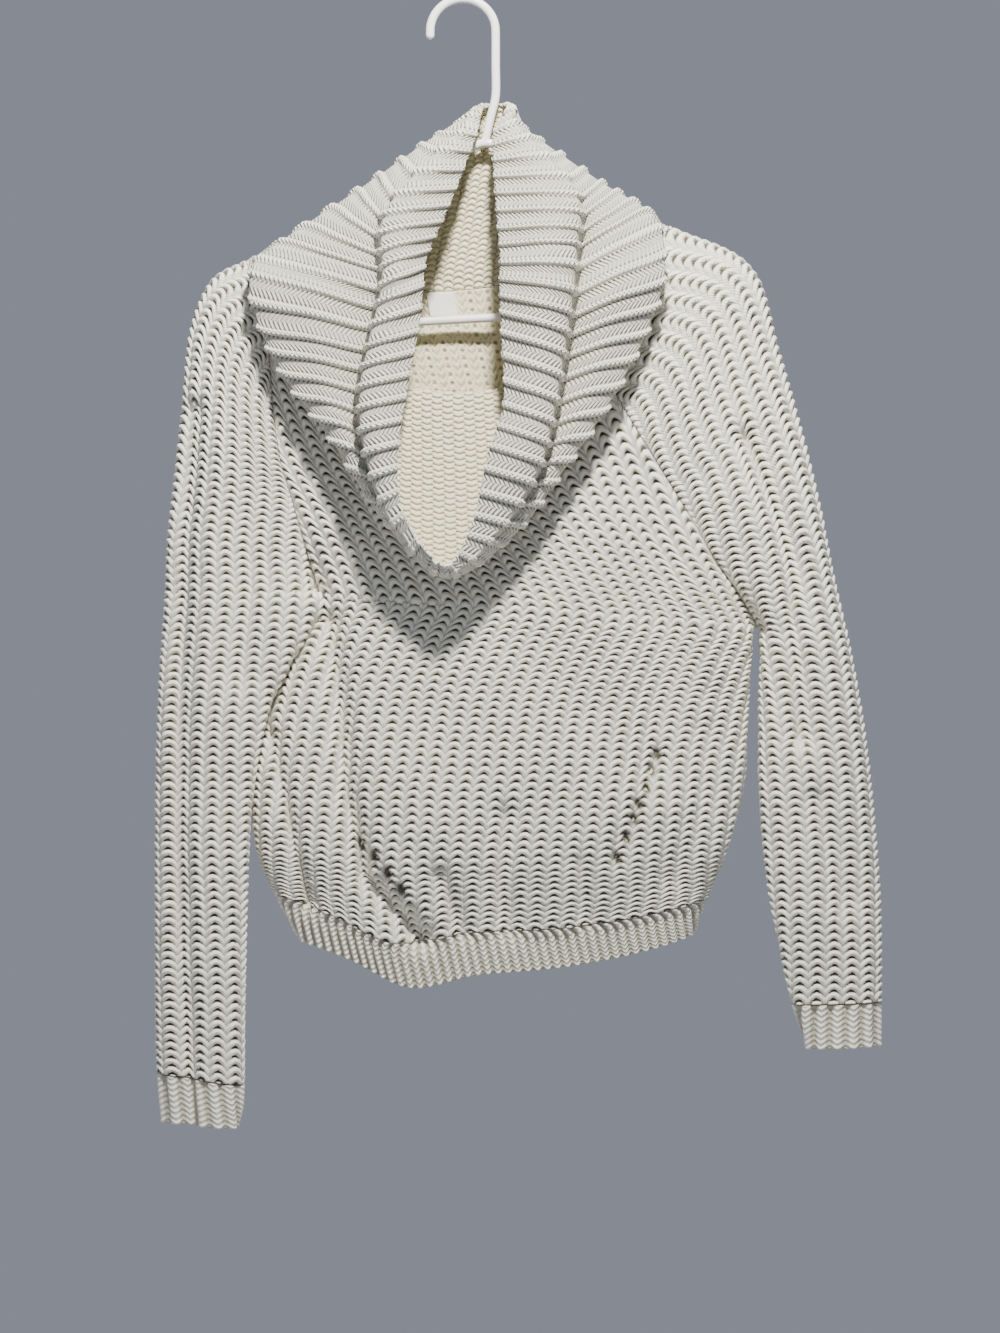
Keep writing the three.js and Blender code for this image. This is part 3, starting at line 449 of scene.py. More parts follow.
def neck_place(rib):
    """Which piece the rib is sewn to, and the share across it."""
    rib = rib % cowl_ribs
    back_span = marks["backLeft"] + cowl_ribs - marks["backRight"]
    if rib < marks["backLeft"]:
        return "back", (marks["backLeft"] - rib) / back_span
    if rib < marks["leftShoulder"]:
        return "Left", 1 - 0.5 * (rib - marks["backLeft"]) / (marks["leftShoulder"] - marks["backLeft"])
    if rib < marks["frontLeft"]:
        return "Left", 0.5 - 0.5 * (rib - marks["leftShoulder"]) / (marks["frontLeft"] - marks["leftShoulder"])
    if rib < marks["frontRight"]:
        return "front", (rib - marks["frontLeft"]) / (marks["frontRight"] - marks["frontLeft"])
    if rib < marks["rightShoulder"]:
        return "Right", 0.5 * (rib - marks["frontRight"]) / (marks["rightShoulder"] - marks["frontRight"])
    if rib < marks["backRight"]:
        return "Right", 0.5 + 0.5 * (rib - marks["rightShoulder"]) / (marks["backRight"] - marks["rightShoulder"])
    return "back", 1 - (rib - marks["backRight"]) / back_span


def neck_ring(ribs):
    """Seam points, wall directions and upward directions for a list of ribs."""
    places = [neck_place(rib) for rib in ribs]
    points, normals, ups = (np.empty((len(ribs), 3)) for _ in range(3))
    for piece in ("front", "back", "Left", "Right"):
        mine = [i for i, place in enumerate(places) if place[0] == piece]
        if mine:
            points[mine], normals[mine], ups[mine] = neck_frames(piece, np.array([places[i][1] for i in mine]))
    return points, normals, ups


def steady_frames():
    """Directions at every half rib. At a corner of the neckline they are the mean of both sides."""
    halves = np.arange(0, cowl_ribs, 0.5)
    _, normals, ups = neck_ring(halves)
    for name in ("backLeft", "frontLeft", "frontRight", "backRight"):
        i = int(2 * marks[name])
        _, _, sides = neck_ring([marks[name] - 0.3, marks[name] + 0.3])
        ups[i] = unit(sides.sum(axis=0))
        normals[i] = (0, -1 if name.startswith("front") else 1, 0)
    return normals, ups


half_normals, half_ups = steady_frames()


# %% The lines of the ribs
def cowl_columns(ribs, column):
    """A column of the cowl's table at any ribs."""
    starts = np.array([section[0] for section in cowl_sections] + [cowl_ribs], float)
    at = np.mod(ribs, cowl_ribs)
    index = np.searchsorted(starts, at, side="right") - 1
    t = (at - starts[index]) / (starts[index + 1] - starts[index])
    return spline([section[column] for section in cowl_sections], index + t, closed=True)


def cowl_lines(ribs):
    """The nine points that each rib passes, as (ribs, 9, 3)."""
    ribs = np.asarray(ribs, float)
    seam, _, _ = neck_ring(ribs)
    doubled = np.mod(2 * ribs, 2 * cowl_ribs)
    low = np.floor(doubled).astype(int) % (2 * cowl_ribs)
    high, share = (low + 1) % (2 * cowl_ribs), (doubled - np.floor(doubled))[:, None]
    normal = unit(half_normals[low] * (1 - share) + half_normals[high] * share)
    up = unit(half_ups[low] * (1 - share) + half_ups[high] * share)
    corners = [marks[name] for name in ("backLeft", "frontLeft", "frontRight", "backRight")]
    nearest = np.min([np.abs(np.mod(ribs, cowl_ribs) - corner) for corner in corners], axis=0)
    seam = seam + up * (seam_gap + 1.5 * np.exp(-(nearest ** 2)))[:, None]
    knee = seam + up * knee_rise + normal * np.maximum(cowl_columns(ribs, 5), 0)[:, None]
    edge, crease, rim = (cowl_columns(ribs, column) for column in (1, 2, 3))
    hidden = (knee + edge) / 2
    hidden[:, 1] += cowl_columns(ribs, 6)
    cape = (edge + crease) / 2
    cape[:, 1] -= np.minimum(cape_puff, np.linalg.norm(crease - edge, axis=1) / 8)
    crown = crease * (1 - crown_share) + rim * crown_share
    crown[:, 1] -= np.maximum(cowl_columns(ribs, 4), 0)
    shoulder = crease + (crown - crease) * np.array(band_shoulder)
    return np.stack([seam, knee, hidden, edge, cape, crease, shoulder, crown, rim], axis=1)


def cowl_grid(ribs, alongs):
    """points, normals, rib numbers and length along the rib, as (alongs, ribs)."""
    ribs, alongs = np.asarray(ribs, float), np.asarray(alongs, float)
    lines = cowl_lines(ribs)
    points = centripetal(lines, alongs)
    around = centripetal(cowl_lines(ribs + 0.25), alongs) - centripetal(cowl_lines(ribs - 0.25), alongs)
    up = centripetal(lines, np.minimum(alongs + 0.02, cowl_segments)) - centripetal(lines, np.maximum(alongs - 0.02, 0))
    normals = unit(np.cross(around, up))
    fine = np.linspace(0, cowl_segments, 141)
    steps = np.linalg.norm(np.diff(centripetal(lines, fine), axis=1), axis=-1)
    run = np.concatenate([np.zeros((len(ribs), 1)), np.cumsum(steps, axis=1)], axis=1)
    along = np.stack([np.interp(alongs, fine, line) for line in run])
    pitch = np.linalg.norm(around, axis=-1) * 2
    ordered = [np.swapaxes(value, 0, 1) for value in (points, normals, along, pitch)]
    return (*ordered[:2], np.repeat(ribs[None, :], len(alongs), axis=0), *ordered[2:])


check = cowl_grid(np.arange(0, cowl_ribs, 2.0), np.linspace(0, cowl_segments, 30))
print("cowl ribs are", round(float(check[3][-1].min())), "to", round(float(check[3][-1].max())), "mm long")

# %% [markdown]
# ## Stitches
# A row of this chunky knit shows as arches of yarn side by side. Each arch is high in the middle of
# its column, and its legs dive into the V between two columns, so a dark pit stays under each arch.
# The functions below give the height of the yarn over the sheet, in millimetres.

# %% Yarn heights
def jitter(columns, rows, seed):
    """A fixed uneven number for each stitch, from -1 to 1."""
    return 2 * np.mod(np.sin(columns * 12.9898 + rows * 78.233 + seed * 37.719) * 43758.5453, 1) - 1


def rope(distance, radius):
    return radius * np.sqrt(np.maximum(1 - (distance / radius) ** 2, 0))


def arch_knit(across, along, seed):
    """Height of the body's arches over the sheet."""
    column = np.floor(across / column_pitch)
    u = across / column_pitch - column - 0.5
    bend = np.abs(2 * u)
    lift = 0.86 * (1 - bend ** 1.7)
    slope = 0.86 * 1.7 * 2 * bend ** 0.7 * row_pitch / column_pitch
    row = np.floor(along / row_pitch - lift)
    v = along / row_pitch - lift - row - 0.5
    distance = np.abs(v) * row_pitch / np.sqrt(1 + slope ** 2)
    yarn = rope(distance, yarn_radius * (1 + 0.07 * jitter(column, row, seed)))
    dive = 1.0 * smooth((bend - 0.55) / 0.45)
    pit = 1.3 * (1 - smooth(yarn / 0.9)) * (1 - smooth((bend - 0.4) / 0.4))
    return yarn - dive - pit + 0.35 * np.cos(2 * np.pi * u)


def narrow_rib(across, along, pitch, seed):
    """Height of a one-by-one rib: a raised chain of stitches, then a groove."""
    u = across / pitch - np.floor(across / pitch) - 0.5
    bend = np.abs(2 * u)
    chain = 2.4 * np.cos(np.pi * np.clip(bend / 1.2, 0, 1))
    stitch = np.cos(2 * np.pi * (along / 5.4 - 0.75 * bend))
    uneven = jitter(np.floor(across / pitch), np.floor(along / 5.4), seed)
    return np.maximum(chain, -1.0) + 0.12 * stitch * np.maximum(1 - bend, 0.25) + 0.08 * uneven


def wide_rib(rib, along):
    """Height of the cowl's face: a ridge of two fine chains, then a broad valley of slanted stitches."""
    u = rib - np.floor(rib) - 0.5
    side = np.abs(u)
    ridge = 3.4 * (1 - smooth((side - 0.09) / 0.09))
    pair = 0.4 * np.cos(2 * np.pi * side / 0.14 - np.pi) * (side < 0.14)
    uneven = jitter(np.floor(rib), np.floor(along / 4), 3)
    return ridge + pair - 0.9 + 0.07 * uneven


def purl_back(rib, along):
    """Height of the cowl's inner face: small bumps, two to a rib, set like bricks."""
    bump = np.mod(2 * rib, 1) - 0.5
    v = along / 5 + 0.3 * (2 * bump) ** 2 + 0.5 * np.mod(np.floor(2 * rib), 2)
    v = v - np.floor(v) - 0.5
    across = np.abs(2 * bump)
    return rope(np.abs(v) * 5, 2.1) * (1 - 0.45 * across ** 3)


def eyelet_back(across, along):
    """Height of the body's inner face: columns of ring stitches beside columns of V stitches."""
    pitch, row = 14.4, 6.5
    u = across / pitch - np.floor(across / pitch)
    v = along / row - np.floor(along / row) - 0.5
    x = (u - 0.25) * pitch
    ring = np.sqrt((x / 3.3) ** 2 + (v * row / 2.35) ** 2)
    rings = 1.7 * np.exp(-(((ring - 1) / 0.42) ** 2)) - 1.0 * np.exp(-((ring / 0.55) ** 2))
    side = np.abs(u - 0.75) * pitch
    w = along / row - side / 5.0
    w = w - np.floor(w) - 0.5
    legs = rope(np.abs(w) * row * 0.62, 1.5)
    return np.where(np.abs(x) < 4.0, rings, legs)


print("arches are", round(float(arch_knit(np.array([6.6]), np.array([9.2]), 1)[0]), 2), "mm high at a crown")

# %% [markdown]
# ## From grids to closed walls
# A wall has an outer and an inner skin. Each skin is a stack of rows of points, and a row may be finer
# or coarser than the next. A strip of faces joins two rows, and more strips close the wall's edges.

# %% Rows and strips
class Wall:
    """Collects the points, faces and stitch coordinates of one closed wall."""

    def __init__(self):
        self.points, self.pits, self.facing, self.relief = [], [], [], []
        self.corners, self.maps, self.sizes = [], [], []
        self.count = 0

    def row(self, points, places, maps, pits, facing=1.0, relief=1.0, closed_by=None):
        """Adds a row. facing is 1 on the right side of the knit and 0 on the wrong side. relief is how far
        the stitches stand free. closed_by is the step in the map from the last point round to the first."""
        ids = np.arange(self.count, self.count + len(points))
        self.count += len(points)
        self.points.append(points)
        self.pits.append(pits)
        self.facing.append(np.full(len(points), facing))
        self.relief.append(np.ones(len(points)) * relief)
        if closed_by is not None:
            ids = np.append(ids, ids[0])
            places = np.append(places, places[0] + cowl_ribs)
            maps = np.concatenate([maps, maps[:1] + closed_by])
        return {"ids": ids, "places": np.asarray(places, float), "maps": maps}

    def strip(self, low, high, flip=False):
        """Faces between two rows, as quads where their places agree and as triangles elsewhere."""
        if len(low["ids"]) == len(high["ids"]) and np.allclose(low["places"], high["places"]):
            pairs = [(low, slice(None, -1)), (low, slice(1, None)), (high, slice(1, None)), (high, slice(None, -1))]
            ids = np.stack([row["ids"][part] for row, part in pairs], axis=1)
            maps = np.stack([row["maps"][part] for row, part in pairs], axis=1)
            self.add(ids, maps, flip)
            return
        ids, maps = [], []
        i = j = 0
        while i < len(low["ids"]) - 1 or j < len(high["ids"]) - 1:
            if j == len(high["ids"]) - 1:
                take_low = True
            elif i == len(low["ids"]) - 1:
                take_low = False
            else:
                take_low = low["places"][i + 1] <= high["places"][j + 1]
            third = (low, i + 1) if take_low else (high, j + 1)
            corner = [(low, i), third, (high, j)]
            ids.append([row["ids"][k] for row, k in corner])
            maps.append([row["maps"][k] for row, k in corner])
            if take_low:
                i += 1
            else:
                j += 1
        self.add(np.array(ids), np.array(maps), flip)

    def add(self, ids, maps, flip):
        if flip:
            ids, maps = ids[:, ::-1], maps[:, ::-1]
        self.corners.append(ids.reshape(-1))
        self.maps.append(maps.reshape(-1, 2))
        self.sizes.append(np.full(len(ids), ids.shape[1]))

    def mesh(self, name):
        points = np.concatenate(self.points) * MM
        corners, sizes = np.concatenate(self.corners), np.concatenate(self.sizes)
        mesh = bpy.data.meshes.new(name)
        mesh.vertices.add(len(points))
        mesh.vertices.foreach_set("co", points.reshape(-1))
        mesh.loops.add(len(corners))
        mesh.loops.foreach_set("vertex_index", corners)
        mesh.polygons.add(len(sizes))
        mesh.polygons.foreach_set("loop_start", np.concatenate([[0], np.cumsum(sizes)[:-1]]))
        mesh.polygons.foreach_set("use_smooth", np.ones(len(sizes), bool))
        mesh.update(calc_edges=True)
        mesh.uv_layers.new(name="weave").data.foreach_set("uv", (np.concatenate(self.maps) * MM).reshape(-1))
        # The attributes carry the shade painted into pits, holes and grooves, the side of the knit, and how far the
        # stitches stand free.
        for name, values in (("pit", self.pits), ("right_side", self.facing), ("relief", self.relief)):
            mesh.attributes.new(name, "FLOAT", "POINT").data.foreach_set("value", np.concatenate(values))
        return mesh


def edge_row(rows, end):
    """The row made by one end of every row of a skin, for closing an open wall's side."""
    return {
        "ids": np.array([row["ids"][end] for row in rows]),
        "places": np.array([row["at"] for row in rows], float),
        "maps": np.array([row["maps"][end] for row in rows]),
    }


def close_wall(wall, outer, inner, closed):
    for low, high in zip(outer, outer[1:]):
        wall.strip(low, high)
    for low, high in zip(inner, inner[1:]):
        wall.strip(low, high, flip=True)
    wall.strip(inner[0], outer[0])
    wall.strip(outer[-1], inner[-1])
    if not closed:
        wall.strip(edge_row(outer, 0), edge_row(inner, 0))
        wall.strip(edge_row(inner, -1), edge_row(outer, -1))


def piece_from(wall, name):
    mesh = wall.mesh(name)
    piece = bpy.data.objects.new(name, mesh)
    bpy.context.scene.collection.objects.link(piece)
    triangles = sum(int(size.sum()) - 2 * len(size) for size in wall.sizes)
    print(name, "has", triangles, "triangles")
    return piece


# %% A panel or sleeve with its stitches
def wavering(across, along):
    """Columns and rows wander a little, as hand-made ones do."""
    wander = 0.5 * np.sin(along / 37 + across / 61) + 0.3 * np.sin(along / 13)
    return across + wander, along + 0.6 * np.sin(across / 17 + along / 83) + 0.35 * np.sin(across / 7.3)


def skin(wall, piece, shares, ats, side, height):
    """Rows of one skin. side is 1 for the outer skin and -1 for the inner one."""
    points, normals, across, along = cloth_grid(piece, shares, ats)
    across, along = wavering(across, along)
    raised, pits = height(points, across, along)
    border = np.minimum(np.minimum(shares, 1 - shares)[None, :] * np.ptp(across, axis=1)[:, None], 8)
    raised = raised * smooth(border / 5) + 0.4 * (1 - smooth(border / 5))
    points = points + side * normals * raised[..., None]
    rows = []
    for j, at in enumerate(ats):
        maps = np.stack([across[j], along[j]], axis=1)
        rows.append({**wall.row(points[j], shares, maps, pits[j], float(side > 0)), "at": at})
    return rows


def cloth_piece(name, piece, outer_at, inner_at, face, back):
    """outer_at and inner_at are (shares, ats). face and back give the heights over the middle sheet and the shade
    painted into its pits.
    """
    wall = Wall()
    outer = skin(wall, piece, *outer_at, 1, face)
    inner = skin(wall, piece, *inner_at, -1, back)
    if outward_sign[piece] < 0:
        outer, inner = inner, outer
    close_wall(wall, outer, inner, closed=False)
    return piece_from(wall, name)


def plain(points, across, along):
    return np.full(across.shape, wall_thickness / 2), np.zeros(across.shape)


# %% [markdown]
# ## The two panels
# A few worked holes slant up the front, where the maker narrowed the knitting, and gathers run up
# from the hem. The back is the same knit. Its inner face shows through the neck, so it is worked fine there.

# %% Front panel
worked_holes = [(-80, -676), (-69, -686), (-59, -699), (-48, -712), (155, -605), (150, -618), (146, -632),
                (140, -644), (136, -656), (130, -671), (123, -687)]


def body_face(points, across, along, seed=1, holes=()):
    height = arch_knit(across, along, seed)
    # Each worked hole is sunk into the knit, and shade is painted into it.
    pits = np.zeros_like(height)
    for x, z in holes:
        dx, dz = points[..., 0] - x, points[..., 2] - z
        lean = dx * 0.9 + dz * 0.35, dz * 0.9 - dx * 0.35
        hole = np.exp(-((lean[0] / 2.9) ** 2 + (lean[1] / 4.8) ** 2))
        height = height - 3.6 * hole
        pits = np.maximum(pits, np.minimum(1.7 * hole, 1))
    return 0.9 + height, pits


def front_face(points, across, along):
    return body_face(points, across, along, 1, worked_holes)


def back_face(points, across, along):
    return body_face(points, across, along, 2)


def shares_of(count):
    return np.linspace(0, 1, count + 1)


def levels_of(piece, low, high, count):
    """Levels that are evenly spaced along the cloth."""
    fine, run = run_of(piece)
    ends = np.interp([low, high], fine, run)
    ats = np.interp(np.linspace(*ends, count + 1), run, fine)
    ats[[0, -1]] = low, high
    return ats


hem_clear = 0.02
front_panel = cloth_piece(
    "front_panel_knit", "front",
    (shares_of(236), levels_of("front", rib_top, top, 372)), (shares_of(40), levels_of("front", rib_top, top, 48)),
    front_face, plain,
)

# %% Back panel, with the rings and Vs of its inner face where the neck shows them
def back_lining(points, across, along):
    height = eyelet_back(across, along)
    shown = smooth((points[..., 0] + 62) / 8) * smooth((62 - points[..., 0]) / 8) * smooth((points[..., 2] + 372) / 8)
    # Shade is painted where the inner face lies low: in the rings' holes and between the stitches.
    return wall_thickness / 2 + 0.8 * height * shown, 0.75 * (1 - smooth((height + 0.4) / 1.1)) * shown


seen_shares = np.concatenate([np.linspace(0, 0.29, 12), np.linspace(0.3, 0.71, 150), np.linspace(0.72, 1, 12)])
seen_levels = np.concatenate([levels_of("back", rib_top, 7.9, 20), levels_of("back", 8, top, 130)])
back_panel = cloth_piece(
    "back_panel_knit", "back",
    (shares_of(200), levels_of("back", rib_top, top, 330)), (seen_shares, seen_levels), back_face, back_lining,
)

# %% [markdown]
# ## Sleeves, hem and cuffs
# The sleeves are the same knit. Hem and cuffs are one-by-one rib: a chain of stitches stands up
# between two grooves, and pulls the edge in.

# %% Sleeves
def sleeve_face(points, across, along):
    return body_face(points, across, along, 4)


sleeve_pieces = {
    side: cloth_piece(
        f"sleeve_{side.lower()}_knit", side,
        (shares_of(144), levels_of(side, rib_top, top, 400)), (shares_of(36), levels_of(side, rib_top, top, 48)),
        sleeve_face, plain,
    )
    for side in ("Left", "Right")
}

# %% Hem and cuff ribs
hem_pitch = 8.0
cuff_pitch = 12.2


# Shade is painted into the grooves: the lower the rib lies, the darker.
def hem_face(points, across, along):
    height = narrow_rib(across, along, hem_pitch, 5)
    return 0.9 + 0.8 * height, 0.7 * (1 - smooth((height + 0.6) / 2))


def cuff_face(points, across, along):
    height = narrow_rib(across, along, cuff_pitch, 6)
    return 0.9 + 0.85 * height, 0.6 * (1 - smooth((height + 0.6) / 2))


hem_pieces = {
    face: cloth_piece(
        f"hem_{face}_rib", face,
        (shares_of(420), levels_of(face, 0, rib_top - hem_clear, 34)),
        (shares_of(420), levels_of(face, 0, rib_top - hem_clear, 6)), hem_face, hem_face,
    )
    for face in ("front", "back")
}
cuff_pieces = {
    side: cloth_piece(
        f"cuff_{side.lower()}_rib", side,
        (shares_of(170), levels_of(side, 0, rib_top - hem_clear, 34)),
        (shares_of(170), levels_of(side, 0, rib_top - hem_clear, 6)), cuff_face, cuff_face,
    )
    for side in ("Left", "Right")
}

# %% [markdown]
# ## The cowl
# The outer skin is fine from the edge to the rim, which is what shows in front, and coarser in the
# hidden layer. The inner skin is fine at the nape and at the front, where the opening shows it.

# %% Cowl
def rib_room(pitch):
    """Crowded ribs are pressed flatter: 0 is fully pressed, 1 is free."""
    return smooth((pitch - 7) / 6)


def band_room(ribs):
    """Where cape and band are short, at the bottom of the opening, the ribs lie flatter."""
    edge, crease, rim = (cowl_columns(ribs, column) for column in (1, 2, 3))
    length = np.linalg.norm(crease - edge, axis=1) + np.linalg.norm(rim - crease, axis=1)
    return 0.4 + 0.6 * smooth((length - 20) / 45)


def cowl_rows(wall, ribs, alongs, side):
    points, normals, numbers, along, pitch = cowl_grid(ribs, alongs)
    room = rib_room(pitch) * smooth(np.asarray(alongs) / 2)[:, None] * band_room(ribs)[None, :]
    base = (wall_thickness / 2) * (0.7 + 0.3 * rib_room(pitch))
    if side > 0:
        height = wide_rib(numbers, along)
        raised = base + 0.9 * height * room
        # Shade is painted into the valleys beside each ridge.
        side_of_rib = np.abs(np.mod(numbers, 1) - 0.5)
        pits = smooth((side_of_rib - 0.12) / 0.08) * room * 0.28
    else:
        height = purl_back(numbers, along)
        raised = base - 0.3 + 0.6 * height * rib_room(pitch)
        pits = np.zeros_like(height)
    points = points + side * normals * raised[..., None]
    maps = np.stack([numbers * 15, along], axis=-1)
    closed_step = np.array([cowl_ribs * 15.0, 0.0])
    return [
        {**wall.row(points[j], ribs, maps[j], pits[j], float(side > 0), rib_room(pitch[j]), closed_step), "at": alongs[j]}
        for j in range(len(alongs))
    ]


def uneven_ribs(zones):
    """Rib places from (start, end, steps a rib)."""
    return np.concatenate([np.arange(start, end, 1 / steps) for start, end, steps in zones])


cowl_wall = Wall()
layer_ribs = uneven_ribs([(0, 10, 10), (10, 41, 4), (41, cowl_ribs, 10)])
rib_places = np.array([0, 0.12, 0.23, 0.3, 0.34, 0.38, 0.43, 0.5, 0.57, 0.62, 0.66, 0.7, 0.77, 0.88])
face_ribs = (np.arange(cowl_ribs)[:, None] + rib_places).reshape(-1)
lining_ribs = uneven_ribs([(0, 5, 12), (5, 16, 3), (16, 33, 14), (33, 47, 3), (47, cowl_ribs, 12)])
lining_alongs = np.concatenate([np.linspace(0, 0.9, 4), np.linspace(1, 3, 88), np.linspace(3.1, cowl_segments, 24)])
outer_rows = cowl_rows(cowl_wall, layer_ribs, np.linspace(0, 2.9, 30), 1)
outer_rows += cowl_rows(cowl_wall, face_ribs, np.linspace(2.95, cowl_segments, 53), 1)
inner_rows = cowl_rows(cowl_wall, lining_ribs, lining_alongs, -1)
close_wall(cowl_wall, outer_rows, inner_rows, closed=True)
cowl = piece_from(cowl_wall, "cowl_rib")

# %% [markdown]
# ## Label
# A small woven tape hangs from the neck seam. It is left bare.

# %% Label
def label_piece():
    wall = Wall()
    shares, ats = np.linspace(0.395, 0.47, 25), np.linspace(top - 0.48, top - 0.02, 17)
    points, normals, across, along = cloth_grid("back", shares, ats)
    curl = 0.5 * np.sin(np.pi * (shares - 0.395) / 0.075)[None, :] * np.linspace(1, 0, len(ats))[:, None]
    rows = {}
    for side, lift in (("outer", wall_thickness / 2 + 2.0), ("inner", wall_thickness / 2 + 1.5)):
        moved = points - normals * (lift + curl)[..., None]
        rows[side] = [
            {**wall.row(moved[j], shares, np.stack([across[j], along[j]], axis=1), np.zeros(len(shares))), "at": at}
            for j, at in enumerate(ats)
        ]
    close_wall(wall, rows["outer"], rows["inner"], closed=False)
    return piece_from(wall, "neck_label_tape")


label = label_piece()

# %% [markdown]
# ## Hanger
# One plastic tube is bent into a frame, with a hook on top. A curve with a round section makes it, and
# a union joins hook and frame where they meet.

# %% Hanger
def tube(name, points, closed):
    curve = bpy.data.curves.new(name, "CURVE")
    curve.dimensions = "3D"
    curve.bevel_depth = rod_radius * MM
    curve.bevel_resolution = 5
    curve.use_fill_caps = not closed
    line = curve.splines.new("POLY")
    line.points.add(len(points) - 1)
    for place, (x, y, z) in zip(line.points, points):
        place.co = (x * MM, y * MM, z * MM, 1)
    line.use_cyclic_u = closed
    made = bpy.data.objects.new(name, curve)
    bpy.context.scene.collection.objects.link(made)
    bpy.ops.object.select_all(action="DESELECT")
    made.select_set(True)
    bpy.context.view_layer.objects.active = made
    bpy.ops.object.convert(target="MESH")
    return bpy.context.object


def hanger_piece():
    tilt, peak = math.radians(3.2), np.array([17.6, 0, -110.4])
    half = np.array([(-4, -1), (10, -5), (75, -47), (146, -91), (188, -112.5), (198, -126), (188, -140), (154, -143), (-4, -143)], float)

    def placed(side):
        x, z = half[:, 0] * side, half[:, 1]
        turned = np.stack([x * math.cos(tilt) - z * math.sin(tilt), 0 * x, x * math.sin(tilt) + z * math.cos(tilt)], axis=1)
        return centripetal(turned + peak, np.linspace(0, len(half) - 1, 121))

    right, left = placed(1), placed(-1)
    ring = np.concatenate([right[8:-6], left[-7:7:-1]])
    angles = np.linspace(math.pi, 0, 25)
    arc = [(hook_radius * math.cos(a), 0, rod_radius - hook_radius + hook_radius * math.sin(a)) for a in angles]
    shank = [(26.5, 0, -50), (26.3, 0, -76), (22.5, 0, -92), (17.8, 0, -112)]
    line = np.array([(-hook_radius, 0, rod_radius - hook_radius - 3)] + arc + shank, float)
    hook = tube("hanger_hook", centripetal(line, np.linspace(0, len(line) - 1, 140)), closed=False)
    body = tube("hanger_tube", ring, closed=True)
    bpy.ops.mesh.primitive_uv_sphere_add(segments=24, ring_count=12, radius=rod_radius * MM, location=Vector(line[0]) * MM)
    tip = bpy.context.object
    for other in (hook, tip):
        join = body.modifiers.new("join", "BOOLEAN")
        join.operation = "UNION"
        join.object = other
        bpy.context.view_layer.objects.active = body
        bpy.ops.object.modifier_apply(modifier=join.name)
        bpy.data.objects.remove(other)
    bpy.ops.object.select_all(action="DESELECT")
    body.select_set(True)
    bpy.context.view_layer.objects.active = body
    bpy.ops.object.transform_apply(location=True, rotation=True, scale=True)
    bpy.ops.object.shade_smooth_by_angle(angle=math.radians(50))
    print("hanger has", len(body.data.polygons), "faces")
    return body


hanger = hanger_piece()

# %% [markdown]
# ## Finishes
# Wool is a matt, slightly hairy fibre: light goes a little way in, the edges of a strand look pale,
# and the pits between strands lie in warm shade. So the colour follows the stitch height: shade is
# painted into the pits, holes and grooves, and the wrong side is painted in a warmer, darker shade.
# Fine noise and a soft sheen give the hair. The hanger is moulded polypropylene with a soft gloss.

# %% Small helpers for materials
def linear(code):
    """An sRGB hex value as linear colour."""
    parts = [int(code[i:i + 2], 16) / 255 for i in (1, 3, 5)]
    return (*[p / 12.92 if p <= 0.04045 else ((p + 0.055) / 1.055) ** 2.4 for p in parts], 1)


def new_material(name):
    material = bpy.data.materials.new(name)
    material.use_nodes = True
    return material, material.node_tree, material.node_tree.nodes["Principled BSDF"]


def add_node(tree, kind, settings=(), inputs=()):
    """Adds a node, sets its fields, and fills or links its inputs."""
    node = tree.nodes.new(kind)
    for field, value in dict(settings).items():
        setattr(node, field, value)
    for socket, value in dict(inputs).items():
        if isinstance(value, bpy.types.NodeSocket):
            tree.links.new(value, node.inputs[socket])
        else:
            node.inputs[socket].default_value = value
    return node


